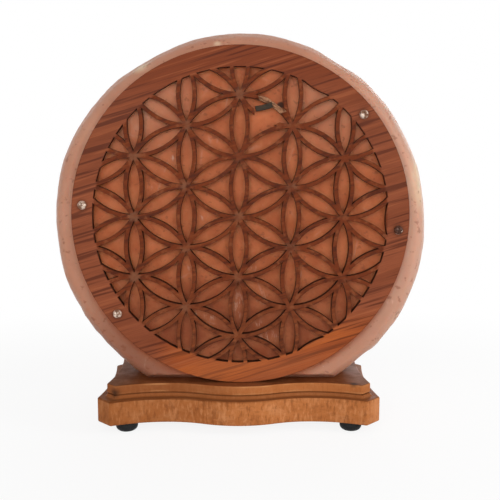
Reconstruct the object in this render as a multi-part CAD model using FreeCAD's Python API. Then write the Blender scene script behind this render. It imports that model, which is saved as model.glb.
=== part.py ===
"""Salt crystal lamp: a thick round plate of rock salt standing on a moulded wooden base.

A pierced wooden disc of interlaced circles is screwed to the front of the salt. A small bulb on a
sprung holder goes up into the salt through a hole in the base, and is pulled down to change it.

Millimetres. The origin is on the table under the middle of the salt, +Z is up, and the pierced
disc faces -Y. Each piece is written to parts/NAME.step.
"""
import FreeCAD
import Part
import math
import os
from FreeCAD import Vector

# ---- fits --------------------------------------------------------------------------------------
SNUG = 0.05               # radial play of a screw, plug or rivet in its own hole
EASE = 0.3                # play between pieces that slide or turn past each other
HAIR = 0.1                # gap between flat faces that press on each other when fitted
SPARE = 1.0               # how far a cutting tool runs past what it cuts
NEAR = 0.1                # an edge this close to a height or to upright counts as there

# ---- rubber feet -------------------------------------------------------------------------------
FOOT_HEIGHT = 6.0
FOOT_RADIUS = 7.2
FOOT_REST_RADIUS = 4.6    # outside of the ring that meets the table
FOOT_RIM = 1.5            # straight part of its side, next to the base
FOOT_BULGE = 1.1          # how far the side below swells past a straight cone
FOOT_FROM_SIDE = 19.1     # foot's centre to the side of the base
FOOT_FROM_EDGE = 12.0     # foot's centre to the front or back of the base
FOOT_RECESS_RADIUS = 2.9
FOOT_RECESS_DEPTH = 3.4
FOOT_SCREW = dict(head=2.3, rise=1.5, core=1.1, thread=1.5, pitch=1.3, slot=1.6)
FOOT_SCREW_BITE = 9.0     # length of screw in the wood
WASHER_RADIUS = 2.7
WASHER_THICKNESS = 0.6

# ---- moulded base board ------------------------------------------------------------------------
BASE_SHIFT = -1.3         # the board's middle stands this far along X from the lamp's axis
BASE_HALF_WIDTH = 93.8
BASE_HALF_DEPTH = 49.8
BASE_BAND = 16.5          # height of the lower band
BASE_STEP = 8.7           # height of the raised table above the band
TABLE_INSET_X = 6.0       # the table stands this far in from the band
TABLE_INSET_Y = 5.2
CANT_WIDTH = 9.9          # canted corners of the band, along X
CANT_DEPTH = 10.3
TABLE_CANT = 6.5          # canted corners of the table, along X and Y
CANT_ROUND = 2.0
WAVE_DEPTH = 8.5          # of the two hollows in the front and back edges
SIDE_HOLLOW = 3.2
COVE_RADIUS = 2.2         # at the foot of the table
QUIRK_WIDTH = 0.6         # groove round the table, just above the cove
QUIRK_DEPTH = 0.7
QUIRK_ROUND = 0.35        # of the edge above the groove
BAND_ROUND = 1.0
TABLE_ROUND = 0.8

# ---- salt plate --------------------------------------------------------------------------------
SALT_RADIUS = 126.6
SALT_THICKNESS = 61.0
SALT_RIM_INSET = 10.6     # the flat faces end this far inside the rim
SALT_RIM_DEPTH = 22.0     # depth of the rounding between a face and the rim
SALT_RIM_BULGE = 1.6      # how far the rounding swells past a straight bevel
SALT_FLAT_CUT = 21.9      # sawn off the round to stand it up
SALT_TOE_HEIGHT = 4.2     # slant taken off the front and back edges of the sawn flat
SALT_TOE_DEPTH = 8.0
CAVITY_ROOM = 1.0         # the hollow in the salt is this much wider than the base's hole
CAVITY_DEPTH = 90.0
CAVITY_ROUND = 6.0

# ---- pierced panel -----------------------------------------------------------------------------
PANEL_MARGIN = 6.0        # plain salt between the panel and the end of the flat face
PANEL_THICKNESS = 5.0
PANEL_LIFT = 0.3          # gap between the panel's lowest point and the base
PANEL_BORDER = 13.5
CIRCLE_RADIUS = 39.4      # radius and spacing of the interlaced circles
STRAND_WIDTH = 2.6
PATTERN_SHIFT_X = -1.3    # the pattern was cut a little off the middle of its border
PATTERN_SHIFT_Z = 0.1
PATTERN_TURN = -0.5       # degrees
SMALLEST_OPENING = 6.0    # mm2; the cutter left smaller corners solid
CHIPPED_CIRCLE = (0, 1)   # place in the pattern of the circle whose strand is split
CHIP_DEPTH = 2.2          # split off the front of that strand
CHIP_ANGLES = (45.0, 71.5)      # degrees round the chipped strand's circle
CHIP_RAKE = -2.0          # slant of its ends, degrees
BROKEN_CIRCLE = (1, 2)
BREAK_ANGLES = (230.0, 255.0)   # degrees round the broken strand's circle
BREAK_RAKE = 4.0
SPLINTER_SHARE = 0.663    # the splinter's length, as a share of the gap that it left
SPLINTER_WIDTH = 3.4
SPLINTER_ANGLE = 56.8     # degrees round the chipped strand's circle, where the splinter meets it
SPLINTER_SHORT = 0.2      # its end stops this far from the middle of that strand
SPLINTER_TILT = 14.0      # degrees
SPLINTER_BOW = 0.3        # rise of its slight curve

# ---- screws and plastic plugs ------------------------------------------------------------------
PANEL_SCREW_ANGLES = (40.0, 175.5, 218.0, 355.5)
PANEL_SCREW = dict(head=2.9, rise=1.8, core=1.25, thread=1.75, length=24.0, pitch=1.8, slot=1.9)
PANEL_PLUG_RADIUS = 3.0
BASE_SCREW = dict(head=4.5, rise=2.8, core=1.8, thread=2.5, length=42.0, pitch=2.4, slot=3.0)
BASE_SCREW_GAP = 15.0     # from the recess for the holder to a screw's middle
BASE_SCREW_SINK = 8.0     # the heads sit this deep in the underside
BASE_PLUG_RADIUS = 4.0
SCREW_PLAIN = 0.15        # share of a screw's length with no thread
SCREW_CREST = 0.4         # shares of the pitch at which a ring of the thread peaks and ends
SCREW_ROOT = 0.8
SCREW_DOME = 0.75         # share of the head's radius and rise at the middle of its curve
SCREW_SLOT_FLOOR = 0.4    # share of the head's rise left under its slots
SCREW_SLOT_WIDTH = 0.8
PLUG_ROOM = 1.0           # past the screw's point, and past the plug in its bore
PLUG_NOSE = 2.0           # solid end of a plug
PLUG_TAPER = 0.6          # share of a plug's radius left at its end
PLUG_COLLAR = 0.3         # share of a plug's length with no slit
PLUG_SLIT = 1.0

# ---- small screw-base bulb ---------------------------------------------------------------------
BULB_CAP_RADIUS = 6.9     # crest of the screw cap
BULB_LENGTH = 58.0
BULB_RADIUS = 12.5
GLASS_WALL = 0.7
GLASS_NECK_LENGTH = 4.0
GLASS_SHOULDER = 12.0     # height of the swell from neck to full width
GLASS_PLAY = 0.15         # between the glass neck and the cap's skirt
THREAD_DEPTH = 0.6
THREAD_PITCH = 2.8
THREAD_TURNS = 5
CAP_SHEET = 0.35
CAP_PLAIN = 1.0           # plain part of the cap below its thread
CAP_SKIRT = 4.0           # and above it
CAP_TURN_IN = 1.2
GLASS_SEAT = 1.0          # from the thread's top to the foot of the glass
GLASS_SWELL = (0.4, 0.42)       # shares of the swell's width and height at the middle of its curve
TIP_RADIUS = 2.4
TIP_FLAT = 1.44           # radius of its flat end
TIP_HEIGHT = 1.5
INSULATOR_HEIGHT = 3.6    # from the tip to the metal cap
STEM_RADIUS = 2.2
STEM_FLARE = 5.0          # height of the stem's flared foot
STEM_FLARE_HOLLOW = 1.0   # how far the flare's side curves in
STEM_RIM = 1.0            # straight edge of the flare
STEM_NOSE = 1.0           # height of its pinched end
STEM_NOSE_RADIUS = 1.54
STEM_NOSE_BULGE = 0.1
WIRE_RADIUS = 0.35
WIRE_BEND = 0.8
WIRE_ROOT = 0.88          # each wire leaves the stem this far from its axis
FILAMENT_RADIUS = 0.25
FILAMENT_HALF_SPAN = 6.0
FILAMENT_RISE = 4.0
FILAMENT_DROP = 1.5       # its ends lie this far below the middle of the round glass

# ---- holder: socket, plate, springs and cap ----------------------------------------------------
SHELL_SHEET = 0.4
SHELL_FLANGE = 3.6        # width of the ring at the foot of the screw shell
SHELL_COLLAR = 1.5        # plain part above its thread
SOCKET_ROOM = 7.1         # from the bulb cap's crest to the outside of the socket
SOCKET_WALL = 2.0
SHELL_ROOM = 1.9          # between the screw shell and the socket's lip
SOCKET_LIP = 2.8          # how far the rim turns in from the bore
SOCKET_LIP_THICKNESS = 2.0
SOCKET_NECK_STEP = 1.5    # the neck is this much smaller than the socket
SOCKET_NECK_WALL = 1.7
SOCKET_NECK_LENGTH = 5.0
SOCKET_LEDGE = 0.5
CORE_HEIGHT = 5.5         # above the ledge it stands on
CORE_FOOT = 4.5
SEAT_HEIGHT = 8.0         # of the bulb's tip above the plate
CONTACT_STOCK = 0.6
CONTACT_WIDTH = 4.0
CONTACT_STUD_RADIUS = 1.6
TERMINAL_X = 7.6
TERMINAL_RADIUS = 1.5
TERMINAL_HEAD_RADIUS = 2.4
TERMINAL_HEAD_HEIGHT = 1.6
TERMINAL_BITE = 6.0
TERMINAL_TO_LEG = 1.8     # from the screw's middle to the near face of the contact's leg
SPRING_SPREAD = 7.0       # from the socket's side to the wall of the hole
SPRING_ANGLES = (90.0, 210.0, 330.0)
SPRING_WIDTH = 8.0
SPRING_STOCK = 0.6
SPRING_BEND = 1.3
SPRING_RISE = 18.0
SPRING_PRESS_DROP = 8.0   # it presses on the wall this far under its top
SPRING_TAIL = 5.0         # from there down to its free end
RIVET_FROM_SOCKET = 3.8
RIVET_RADIUS = 1.2
RIVET_HEAD = 1.9
RIVET_FLAT = 0.95         # radius of the head's flat middle
RIVET_RISE = 0.7
RIVET_BULGE = 0.175
PLATE_LAP = 6.0           # the plate reaches this far past the hole
PLATE_THICKNESS = 1.0
RECESS_ROOM = 3.0         # for fingers round the plate
CHANNEL_ROOM_SIDE = 1.7   # between the gland and the sides of the cord's channel
CHANNEL_ROOM_TOP = 1.0
COVER_OVERHANG = 3.0      # the cover under the plate is this much wider than the socket
COVER_SINK = 0.9          # of the cover's underside in the base
COVER_WALL = 2.0
COVER_FLOOR = 1.5
COVER_UNDER_GLAND = 1.2   # from the gland's spigot down to the cover's underside
COVER_COLLAR = 2.4
EDGE_ROUND = 1.0          # outer edges of the cover and the socket
GLAND_BORE = 2.9
GLAND_WALL = 0.7
GLAND_LIP = 0.7           # the flange stands this far out past the spigot
GLAND_LENGTH = 12.0
GLAND_FLANGE = 1.5
GLAND_NOSE_STEP = 0.1     # the nose starts this much fatter than the spigot
GLAND_TAPER = 0.6
GLAND_SEAT_CUT = 1.2      # depth of the flat it stands on
GLAND_UNDER_PLATE = 0.7   # between the flange and the plate

# ---- worked out from the sizes above -----------------------------------------------------------
BASE_BOTTOM = FOOT_HEIGHT
BAND_TOP = BASE_BOTTOM + BASE_BAND
BASE_TOP = BAND_TOP + BASE_STEP
FOOT_X = BASE_HALF_WIDTH - FOOT_FROM_SIDE
WAVE_X = BASE_HALF_WIDTH / 2
WAVE_RUN = BASE_HALF_WIDTH - CANT_WIDTH - WAVE_X
WAVE_RADIUS = (WAVE_RUN ** 2 + WAVE_DEPTH ** 2) / (2 * WAVE_DEPTH)
SALT_FACE_RADIUS = SALT_RADIUS - SALT_RIM_INSET
SALT_Z = BASE_TOP + SALT_RADIUS - SALT_FLAT_CUT
PANEL_RADIUS = SALT_FACE_RADIUS - PANEL_MARGIN
WINDOW_RADIUS = PANEL_RADIUS - PANEL_BORDER
PANEL_Z = BASE_TOP + PANEL_LIFT + PANEL_RADIUS
PANEL_BACK_Y = -SALT_THICKNESS / 2
PANEL_FRONT_Y = PANEL_BACK_Y - PANEL_THICKNESS
SOCKET_RADIUS = BULB_CAP_RADIUS + SOCKET_ROOM
SOCKET_BORE = SOCKET_RADIUS - SOCKET_WALL
NECK_RADIUS = SOCKET_RADIUS - SOCKET_NECK_STEP
NECK_BORE = NECK_RADIUS - SOCKET_NECK_WALL
HOLE_RADIUS = SOCKET_RADIUS + SPRING_SPREAD
CAVITY_RADIUS = HOLE_RADIUS + CAVITY_ROOM
PLATE_RADIUS = HOLE_RADIUS + PLATE_LAP
RECESS_RADIUS = PLATE_RADIUS + RECESS_ROOM
BASE_SCREW_X = RECESS_RADIUS + BASE_SCREW_GAP
COVER_RADIUS = SOCKET_RADIUS + COVER_OVERHANG
RIVET_AT = SOCKET_RADIUS + RIVET_FROM_SOCKET
GLAND_SPIGOT = GLAND_BORE + GLAND_WALL
GLAND_RADIUS = GLAND_SPIGOT + GLAND_LIP
GLAND_SEAT_Y = COVER_RADIUS - GLAND_SEAT_CUT
GLAND_Z = BASE_BOTTOM + COVER_SINK + COVER_UNDER_GLAND + GLAND_SPIGOT
PLATE_BOTTOM = GLAND_Z + GLAND_RADIUS + GLAND_UNDER_PLATE
PLATE_TOP = PLATE_BOTTOM + PLATE_THICKNESS
COVER_BOTTOM = BASE_BOTTOM + COVER_SINK
COVER_TOP = PLATE_BOTTOM - HAIR
RECESS_TOP = PLATE_TOP + EASE
CHANNEL_RADIUS = GLAND_RADIUS + CHANNEL_ROOM_SIDE
CHANNEL_TOP = GLAND_Z + GLAND_RADIUS + CHANNEL_ROOM_TOP
CORE_LEDGE = PLATE_TOP + SOCKET_LEDGE
CORE_TOP = CORE_LEDGE + CORE_HEIGHT
CORE_BOTTOM = CORE_LEDGE - CORE_FOOT
BULB_TIP = PLATE_TOP + SEAT_HEIGHT
CAP_FOOT = BULB_TIP + INSULATOR_HEIGHT
THREAD_START = CAP_FOOT + CAP_PLAIN
THREAD_END = THREAD_START + THREAD_TURNS * THREAD_PITCH
SHELL_TOP = THREAD_END + SHELL_COLLAR
SOCKET_TOP = SHELL_TOP + SHELL_ROOM + SOCKET_LIP_THICKNESS
CAP_OUTER = BULB_CAP_RADIUS - THREAD_DEPTH / 2
CAP_INNER = CAP_OUTER - CAP_SHEET
GLASS_NECK = CAP_INNER - GLASS_PLAY
GLASS_BOTTOM = THREAD_END + GLASS_SEAT
GLASS_CENTRE = BULB_TIP + BULB_LENGTH - BULB_RADIUS
FILAMENT_Z = GLASS_CENTRE - FILAMENT_DROP
STEM_TOP = FILAMENT_Z - FILAMENT_HALF_SPAN
UP = Vector(0, 0, 1)
BACK = Vector(0, 1, 0)
ORIGIN = Vector(0, 0, 0)
HALF_TURN = 180.0
QUARTER_TURN = 90.0
QUARTER_BULGE = 1 - math.sqrt(0.5)      # rise of a quarter round of radius 1 over its chord
SAME_POINT = 1e-6


# ---- drawing helpers ---------------------------------------------------------------------------
def is_arc(step):
    """A step of an outline is an (x, z) point for a line, or (through, end) for an arc."""
    return isinstance(step[0], tuple)


def outline_wire(start, steps):
    """Closed wire in XZ from a start point and its steps."""
    def at(point):
        return Vector(point[0], 0, point[1])

    edges = []
    here = at(start)
    for step in list(steps) + [start]:
        end = at(step[1] if is_arc(step) else step)
        if is_arc(step):
            edges.append(Part.Arc(here, at(step[0]), end).toShape())
        elif here.distanceToPoint(end) > SAME_POINT:
            edges.append(Part.LineSegment(here, end).toShape())
        here = end
    return Part.Wire(edges)


def backwards(start, steps):
    """The steps that lead from the last point of a path back to its start."""
    ends = [start] + [step[1] if is_arc(step) else step for step in steps]
    back = []
    for number in reversed(range(len(steps))):
        step = steps[number]
        back.append((step[0], ends[number]) if is_arc(step) else ends[number])
    return back


def lathe(start, *steps):
    """Solid turned about the Z axis from a closed (radius, z) outline."""
    return Part.Face(outline_wire(start, steps)).revolve(ORIGIN, UP, 2 * HALF_TURN)


def swollen(start, end, bulge):
    """Arc step from start to end whose middle stands out to the right of the way there."""
    run = Vector(end[0] - start[0], end[1] - start[1], 0)
    out = Vector(run.y, -run.x, 0).normalize() * bulge
    return ((start[0] + run.x / 2 + out.x, start[1] + run.y / 2 + out.y), end)


def cylinder(radius, low, high, x=0.0, y=0.0):
    return Part.makeCylinder(radius, high - low, Vector(x, y, low), UP)


def rod_back(radius, front, back, z, x=0.0):
    """Cylinder lying along Y."""
    return Part.makeCylinder(radius, back - front, Vector(x, front, z), BACK)


def block(x_range, y_range, z_range):
    size = [high - low for low, high in (x_range, y_range, z_range)]
    return Part.makeBox(*size, Vector(x_range[0], y_range[0], z_range[0]))


def moved(shape, x=0.0, y=0.0, z=0.0):
    copy = shape.copy()
    copy.translate(Vector(x, y, z))
    return copy


def turned(shape, degrees, axis=UP):
    """Copy turned about an axis through the origin."""
    copy = shape.copy()
    copy.rotate(ORIGIN, axis, degrees)
    return copy


def upside_down(shape):
    return turned(shape, HALF_TURN, Vector(1, 0, 0))


def compound(shapes):
    return Part.makeCompound(list(shapes))


def rounded_path(points, bend, side=0.0):
    """Edges along (x, z) points with rounded corners, set off to one side by a distance."""
    places = [Vector(x, 0, z) for x, z in points]
    runs = [(b - a).normalize() for a, b in zip(places, places[1:])]

    def beside(point, run):
        return point + Vector(-run.z, 0, run.x) * side

    edges = []
    here = beside(places[0], runs[0])
    for corner, before, after in zip(places[1:], runs, runs[1:]):
        half_turn = before.getAngle(after) / 2
        reach = bend * math.tan(half_turn)
        inward = (after - before).normalize()
        centre = corner + inward * (bend / math.cos(half_turn))
        enter, leave = beside(corner - before * reach, before), beside(corner + after * reach, after)
        middle = centre - inward * centre.distanceToPoint(enter)
        edges.append(Part.LineSegment(here, enter).toShape())
        edges.append(Part.Arc(enter, middle, leave).toShape())
        here = leave
    edges.append(Part.LineSegment(here, beside(places[-1], runs[-1])).toShape())
    return edges


def ends_of(edges):
    return edges[0].Vertexes[0].Point, edges[-1].Vertexes[-1].Point


def bent_strip(points, stock, bend, width):
    """Flat strip along (x, z) points, bent round its corners, its middle on Y = 0."""
    left = rounded_path(points, bend, stock / 2)
    right = rounded_path(points, bend, -stock / 2)
    ends = [Part.LineSegment(a, b).toShape() for a, b in zip(ends_of(left), ends_of(right))]
    outline = Part.Wire(Part.__sortEdges__(left + right + ends))
    return moved(Part.Face(outline).extrude(BACK * width), y=-width / 2)


def round_wire(points, bend, radius):
    """Round wire along (x, z) points, bent round its corners."""
    path = Part.Wire(rounded_path(points, bend))
    start, heading = path.OrderedVertexes[0].Point, path.OrderedEdges[0].tangentAt(0)
    ring = Part.Wire(Part.makeCircle(radius, start, heading))
    return path.makePipeShell([ring], True, False)


def screw(head, rise, core, thread, length, pitch, slot):
    """Cross-slotted screw hanging from its head's underside at Z = 0, its thread cut as rings."""
    plain = length * SCREW_PLAIN
    rings = int((length - plain - 2 * thread) / pitch)
    dome = ((head * SCREW_DOME, rise * SCREW_DOME), (head, 0))
    outline = [dome, (core, 0), (core, -plain)]
    for ring in range(rings):
        top = -plain - ring * pitch
        outline += [(thread, top - pitch * SCREW_CREST), (core, top - pitch * SCREW_ROOT),
                    (core, top - pitch)]
    body = lathe((0, rise), *outline, (0, -length))
    across = SCREW_SLOT_WIDTH / 2
    for x, y in ((slot, across), (across, slot)):
        body = body.cut(block((-x, x), (-y, y), (rise * SCREW_SLOT_FLOOR, rise + SPARE)))
    return body


def plug(radius, reach, thread):
    """Plastic plug, mouth at Z = 0 and nose down, for a screw that goes that far into it."""
    end = -reach - PLUG_ROOM
    outside, bore = radius - SNUG, thread + SNUG
    body = lathe((bore, 0), (outside, 0), (outside, end), (outside * PLUG_TAPER, end - PLUG_NOSE),
                 (0, end - PLUG_NOSE), (0, end), (bore, end))
    slit = block((-radius, radius), (-PLUG_SLIT / 2, PLUG_SLIT / 2), (-reach, end * PLUG_COLLAR))
    return body.cut(slit)


def plug_bore_depth(reach):
    return reach + PLUG_ROOM + PLUG_NOSE + PLUG_ROOM


# ---- base board --------------------------------------------------------------------------------
def tangent_arcs(start, heading, points):
    """Arcs in XY through the points, each running smoothly on from the last."""
    edges = []
    for end in points:
        chord = end - start
        turn = heading.getAngle(chord)
        side = heading - chord * (heading.dot(chord) / chord.dot(chord))
        middle = start + chord * 0.5 + side.normalize() * (chord.Length / 2 * math.tan(turn / 2))
        edges.append(Part.Arc(start, middle, end).toShape())
        heading = chord * (2 * heading.dot(chord) / chord.dot(chord)) - heading
        start = end
    return edges


def waved_outline(half_width, half_depth, cant_width, cant_depth):
    """Board's outline: two hollows in the front and back edges, one in each side, canted corners."""
    front = Vector(0, -half_depth, 0)
    crossing = Vector(WAVE_X / 2, -half_depth + WAVE_DEPTH / 2, 0)
    trough = Vector(WAVE_X, -half_depth + WAVE_DEPTH, 0)
    run = half_width - cant_width - WAVE_X
    rise = WAVE_RADIUS - math.sqrt(WAVE_RADIUS ** 2 - run ** 2)
    cant_front = trough + Vector(run, -rise, 0)
    cant_side = cant_front + Vector(cant_width, cant_depth, 0)
    waist = Vector(half_width - SIDE_HOLLOW, 0, 0)
    quarter = tangent_arcs(front, Vector(1, 0, 0), [crossing, trough, cant_front])
    quarter.append(Part.LineSegment(cant_front, cant_side).toShape())
    quarter += tangent_arcs(waist, -BACK, [cant_side])
    half = quarter + [edge.mirror(ORIGIN, Vector(1, 0, 0)) for edge in quarter]
    return Part.Wire(Part.__sortEdges__(half + [edge.mirror(ORIGIN, BACK) for edge in half]))


def upright_edges(shape):
    def upright(box):
        return box.ZLength > SPARE and box.XLength < NEAR and box.YLength < NEAR
    return [edge for edge in shape.Edges if upright(edge.BoundBox)]


def level_edges(shape, height, outline=None):
    """Edges at one height; with an outline given, only those that follow it."""
    corner_stray = CANT_ROUND / 4

    def follows(edge):
        middle = edge.valueAt((edge.FirstParameter + edge.LastParameter) / 2)
        flat = Part.Vertex(middle.x, middle.y, 0)
        return flat.distToShape(outline)[0] < corner_stray

    found = []
    for edge in shape.Edges:
        box = edge.BoundBox
        if box.ZLength < NEAR and abs(box.ZMin - height) < NEAR:
            if outline is None or follows(edge):
                found.append(edge)
    return found


def table_outline_inset(inset):
    """Outline of the raised table, set in by a distance."""
    return waved_outline(BASE_HALF_WIDTH - TABLE_INSET_X - inset, BASE_HALF_DEPTH - TABLE_INSET_Y - inset,
                         TABLE_CANT, TABLE_CANT)


def with_quirk(board):
    """The board with a narrow groove round its table, and the edge above the groove rounded."""
    low = BASE_BAND + COVE_RADIUS
    top = low + QUIRK_WIDTH
    groove = block((-BASE_HALF_WIDTH, BASE_HALF_WIDTH), (-BASE_HALF_DEPTH, BASE_HALF_DEPTH), (low, top))
    core = Part.Face(table_outline_inset(QUIRK_DEPTH)).extrude(UP * (top + SPARE))
    board = board.cut(groove.cut(core))
    return board.makeFillet(QUIRK_ROUND, level_edges(board, top, table_outline_inset(0)))


def moulded_block():
    """The board with eased corners, its cove and quirk, and its arrises rounded."""
    band_outline = waved_outline(BASE_HALF_WIDTH, BASE_HALF_DEPTH, CANT_WIDTH, CANT_DEPTH)
    table_outline = table_outline_inset(0)
    height = BASE_BAND + BASE_STEP
    band = Part.Face(band_outline).extrude(UP * BASE_BAND)
    table = Part.Face(table_outline).extrude(UP * height)
    band = band.makeFillet(CANT_ROUND, upright_edges(band))
    table = table.makeFillet(CANT_ROUND, upright_edges(table))
    board = band.fuse(table).removeSplitter()
    board = board.makeFillet(COVE_RADIUS, level_edges(board, BASE_BAND, table_outline))
    board = board.makeFillet(TABLE_ROUND, level_edges(board, height))
    board = board.makeFillet(BAND_ROUND, level_edges(board, BASE_BAND, band_outline))
    board = board.makeFillet(BAND_ROUND, level_edges(board, 0))
    return moved(with_quirk(board), BASE_SHIFT, 0, BASE_BOTTOM)


def foot_places():
    y = BASE_HALF_DEPTH - FOOT_FROM_EDGE
    left, right = BASE_SHIFT - FOOT_X, BASE_SHIFT + FOOT_X
    return {"front_left": (left, -y), "front_right": (right, -y),
            "back_left": (left, y), "back_right": (right, y)}


def base_board():
    board = moulded_block()
    under = BASE_BOTTOM - SPARE
    board = board.cut(cylinder(HOLE_RADIUS, BASE_BOTTOM, BASE_TOP + SPARE))
    board = board.cut(cylinder(RECESS_RADIUS, under, RECESS_TOP))
    crown, back = CHANNEL_TOP - CHANNEL_RADIUS, BASE_HALF_DEPTH + SPARE
    channel = block((-CHANNEL_RADIUS, CHANNEL_RADIUS), (0, back), (under, crown))
    board = board.cut(channel.fuse(rod_back(CHANNEL_RADIUS, 0, back, crown)))
    for x in (-BASE_SCREW_X, BASE_SCREW_X):
        sink_top = BASE_BOTTOM + BASE_SCREW_SINK
        board = board.cut(cylinder(BASE_SCREW["thread"] + SNUG, under, BASE_TOP + SPARE, x))
        board = board.cut(cylinder(BASE_SCREW["head"] + EASE, under, sink_top, x))
    bite_top = BASE_BOTTOM + FOOT_SCREW_BITE + SPARE
    for x, y in foot_places().values():
        board = board.cut(cylinder(FOOT_SCREW["thread"] + SNUG, under, bite_top, x, y))
    return board


# ---- feet --------------------------------------------------------------------------------------
def foot():
    hole = FOOT_SCREW["thread"] + SNUG
    rest, top = (FOOT_REST_RADIUS, 0), (FOOT_RADIUS, FOOT_HEIGHT - FOOT_RIM)
    return lathe((FOOT_RECESS_RADIUS, 0), rest, swollen(rest, top, FOOT_BULGE),
                 (FOOT_RADIUS, FOOT_HEIGHT), (hole, FOOT_HEIGHT), (hole, FOOT_RECESS_DEPTH),
                 (FOOT_RECESS_RADIUS, FOOT_RECESS_DEPTH))


def foot_washer():
    hole = FOOT_SCREW["thread"] + SNUG
    low = FOOT_RECESS_DEPTH - WASHER_THICKNESS
    return lathe((hole, low), (WASHER_RADIUS, low), (WASHER_RADIUS, FOOT_RECESS_DEPTH),
                 (hole, FOOT_RECESS_DEPTH))


def foot_screw():
    """Head down in the foot's recess, point up in the wood."""
    under_head = FOOT_RECESS_DEPTH - WASHER_THICKNESS
    length = FOOT_HEIGHT - under_head + FOOT_SCREW_BITE
    return moved(upside_down(screw(length=length, **FOOT_SCREW)), z=under_head)


def at_feet(shape):
    return compound(moved(shape, x, y) for x, y in foot_places().values())


# ---- salt --------------------------------------------------------------------------------------
def salt_toe(half, reach):
    """Wedge that comes off the front edge of the sawn flat, a little larger than what it cuts."""
    over = SPARE / SALT_TOE_HEIGHT
    outer, inner = -half - over * SALT_TOE_DEPTH, -half + (1 + over) * SALT_TOE_DEPTH
    low, high = BASE_TOP - SPARE, BASE_TOP + SALT_TOE_HEIGHT + SPARE
    corners = [Vector(-reach, outer, low), Vector(-reach, inner, low), Vector(-reach, outer, high)]
    return Part.Face(Part.makePolygon(corners + corners[:1])).extrude(Vector(2 * reach, 0, 0))


def salt_plate():
    """Round plate with swollen rims, sawn flat below, hollowed and drilled from below and in front."""
    half = SALT_THICKNESS / 2
    shoulder = half - SALT_RIM_DEPTH
    front, rim_front = (SALT_FACE_RADIUS, -half), (SALT_RADIUS, -shoulder)
    rim_back, back = (SALT_RADIUS, shoulder), (SALT_FACE_RADIUS, half)
    plate = lathe((0, -half), front, swollen(front, rim_front, SALT_RIM_BULGE), rim_back,
                  swollen(rim_back, back, SALT_RIM_BULGE), (0, half))
    plate = moved(turned(plate, QUARTER_TURN, Vector(1, 0, 0)), z=SALT_Z)
    reach = SALT_RADIUS + SPARE
    plate = plate.cut(block((-reach, reach), (-reach, reach), (SALT_Z - reach, BASE_TOP)))
    toe = salt_toe(half, reach)
    plate = plate.cut(toe).cut(toe.mirror(ORIGIN, BACK))
    hollow = cylinder(CAVITY_RADIUS, -SPARE, CAVITY_DEPTH)
    hollow = hollow.makeFillet(CAVITY_ROUND, level_edges(hollow, CAVITY_DEPTH))
    plate = plate.cut(moved(hollow, z=BASE_TOP))
    bore_end = PANEL_BACK_Y + plug_bore_depth(panel_screw_reach())
    for x, z in panel_screw_places():
        plate = plate.cut(rod_back(PANEL_PLUG_RADIUS, PANEL_BACK_Y, bore_end, z, x))
    bore_top = BASE_TOP + plug_bore_depth(base_screw_reach())
    for x in (-BASE_SCREW_X, BASE_SCREW_X):
        plate = plate.cut(cylinder(BASE_PLUG_RADIUS, BASE_TOP, bore_top, x))
    return plate


# ---- pierced panel, drawn flat with its middle at the origin and its front up ------------------
def lattice_point(i, j):
    """Centre of one of the interlaced circles."""
    turn = math.radians(PATTERN_TURN)
    x, y = i * CIRCLE_RADIUS * math.sqrt(3) / 2, (j + i / 2) * CIRCLE_RADIUS
    return Vector(PATTERN_SHIFT_X + x * math.cos(turn) - y * math.sin(turn),
                  PATTERN_SHIFT_Z + x * math.sin(turn) + y * math.cos(turn), 0)


def on_circle(centre, radius, degrees):
    turn = math.radians(degrees)
    return centre + Vector(radius * math.cos(turn), radius * math.sin(turn), 0)


def arc_about(centre, radius, start, end, bulge):
    """Arc about a centre from start to end, on the side of the bulge direction."""
    return Part.Arc(start, centre + bulge.normalize() * radius, end).toShape()


def petal_wire(a, b):
    """Lens between two neighbouring crossings, less half a strand on each side."""
    middle = (a + b) * 0.5
    along = (b - a).normalize()
    across = Vector(-along.y, along.x, 0)
    arm = CIRCLE_RADIUS * math.sqrt(3) / 2
    radius = CIRCLE_RADIUS - STRAND_WIDTH / 2
    half = math.sqrt(radius ** 2 - arm ** 2)
    tips = (middle - along * half, middle + along * half)
    return Part.Wire([arc_about(middle - across * (side * arm), radius, *tips, across * side)
                      for side in (1, -1)])


def triangle_wire(corners):
    """Three-pointed opening between three petals."""
    centroid = (corners[0] + corners[1] + corners[2]) * (1 / 3)
    radius = CIRCLE_RADIUS + STRAND_WIDTH / 2
    back_off = math.sqrt(radius ** 2 - CIRCLE_RADIUS ** 2)
    tips = [corner + (centroid - corner).normalize() * back_off for corner in corners]
    edges = []
    for k in range(3):
        other, another = (k + 1) % 3, (k + 2) % 3
        facing = corners[other] + corners[another] - corners[k]
        edges.append(arc_about(facing, radius, tips[other], tips[another], centroid - facing))
    return Part.Wire(edges)


def opening_wires():
    """Every opening of the pattern, trimmed to the round window inside the border."""
    count = int(WINDOW_RADIUS / CIRCLE_RADIUS) + 2
    whole = []
    for i in range(-count, count + 1):
        for j in range(-2 * count, 2 * count + 1):
            here, up = lattice_point(i, j), lattice_point(i, j + 1)
            right, left = lattice_point(i + 1, j), lattice_point(i - 1, j + 1)
            whole += [petal_wire(here, other) for other in (right, up, left)]
            whole += [triangle_wire([here, right, up]), triangle_wire([here, up, left])]
    window = Part.Face(Part.Wire(Part.makeCircle(WINDOW_RADIUS)))
    kept = []
    for wire in whole:
        if min(vertex.Point.Length for vertex in wire.Vertexes) < WINDOW_RADIUS:
            pieces = Part.Face(wire).common(window).Faces
            kept += [piece.OuterWire for piece in pieces if piece.Area > SMALLEST_OPENING]
    return kept


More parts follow.
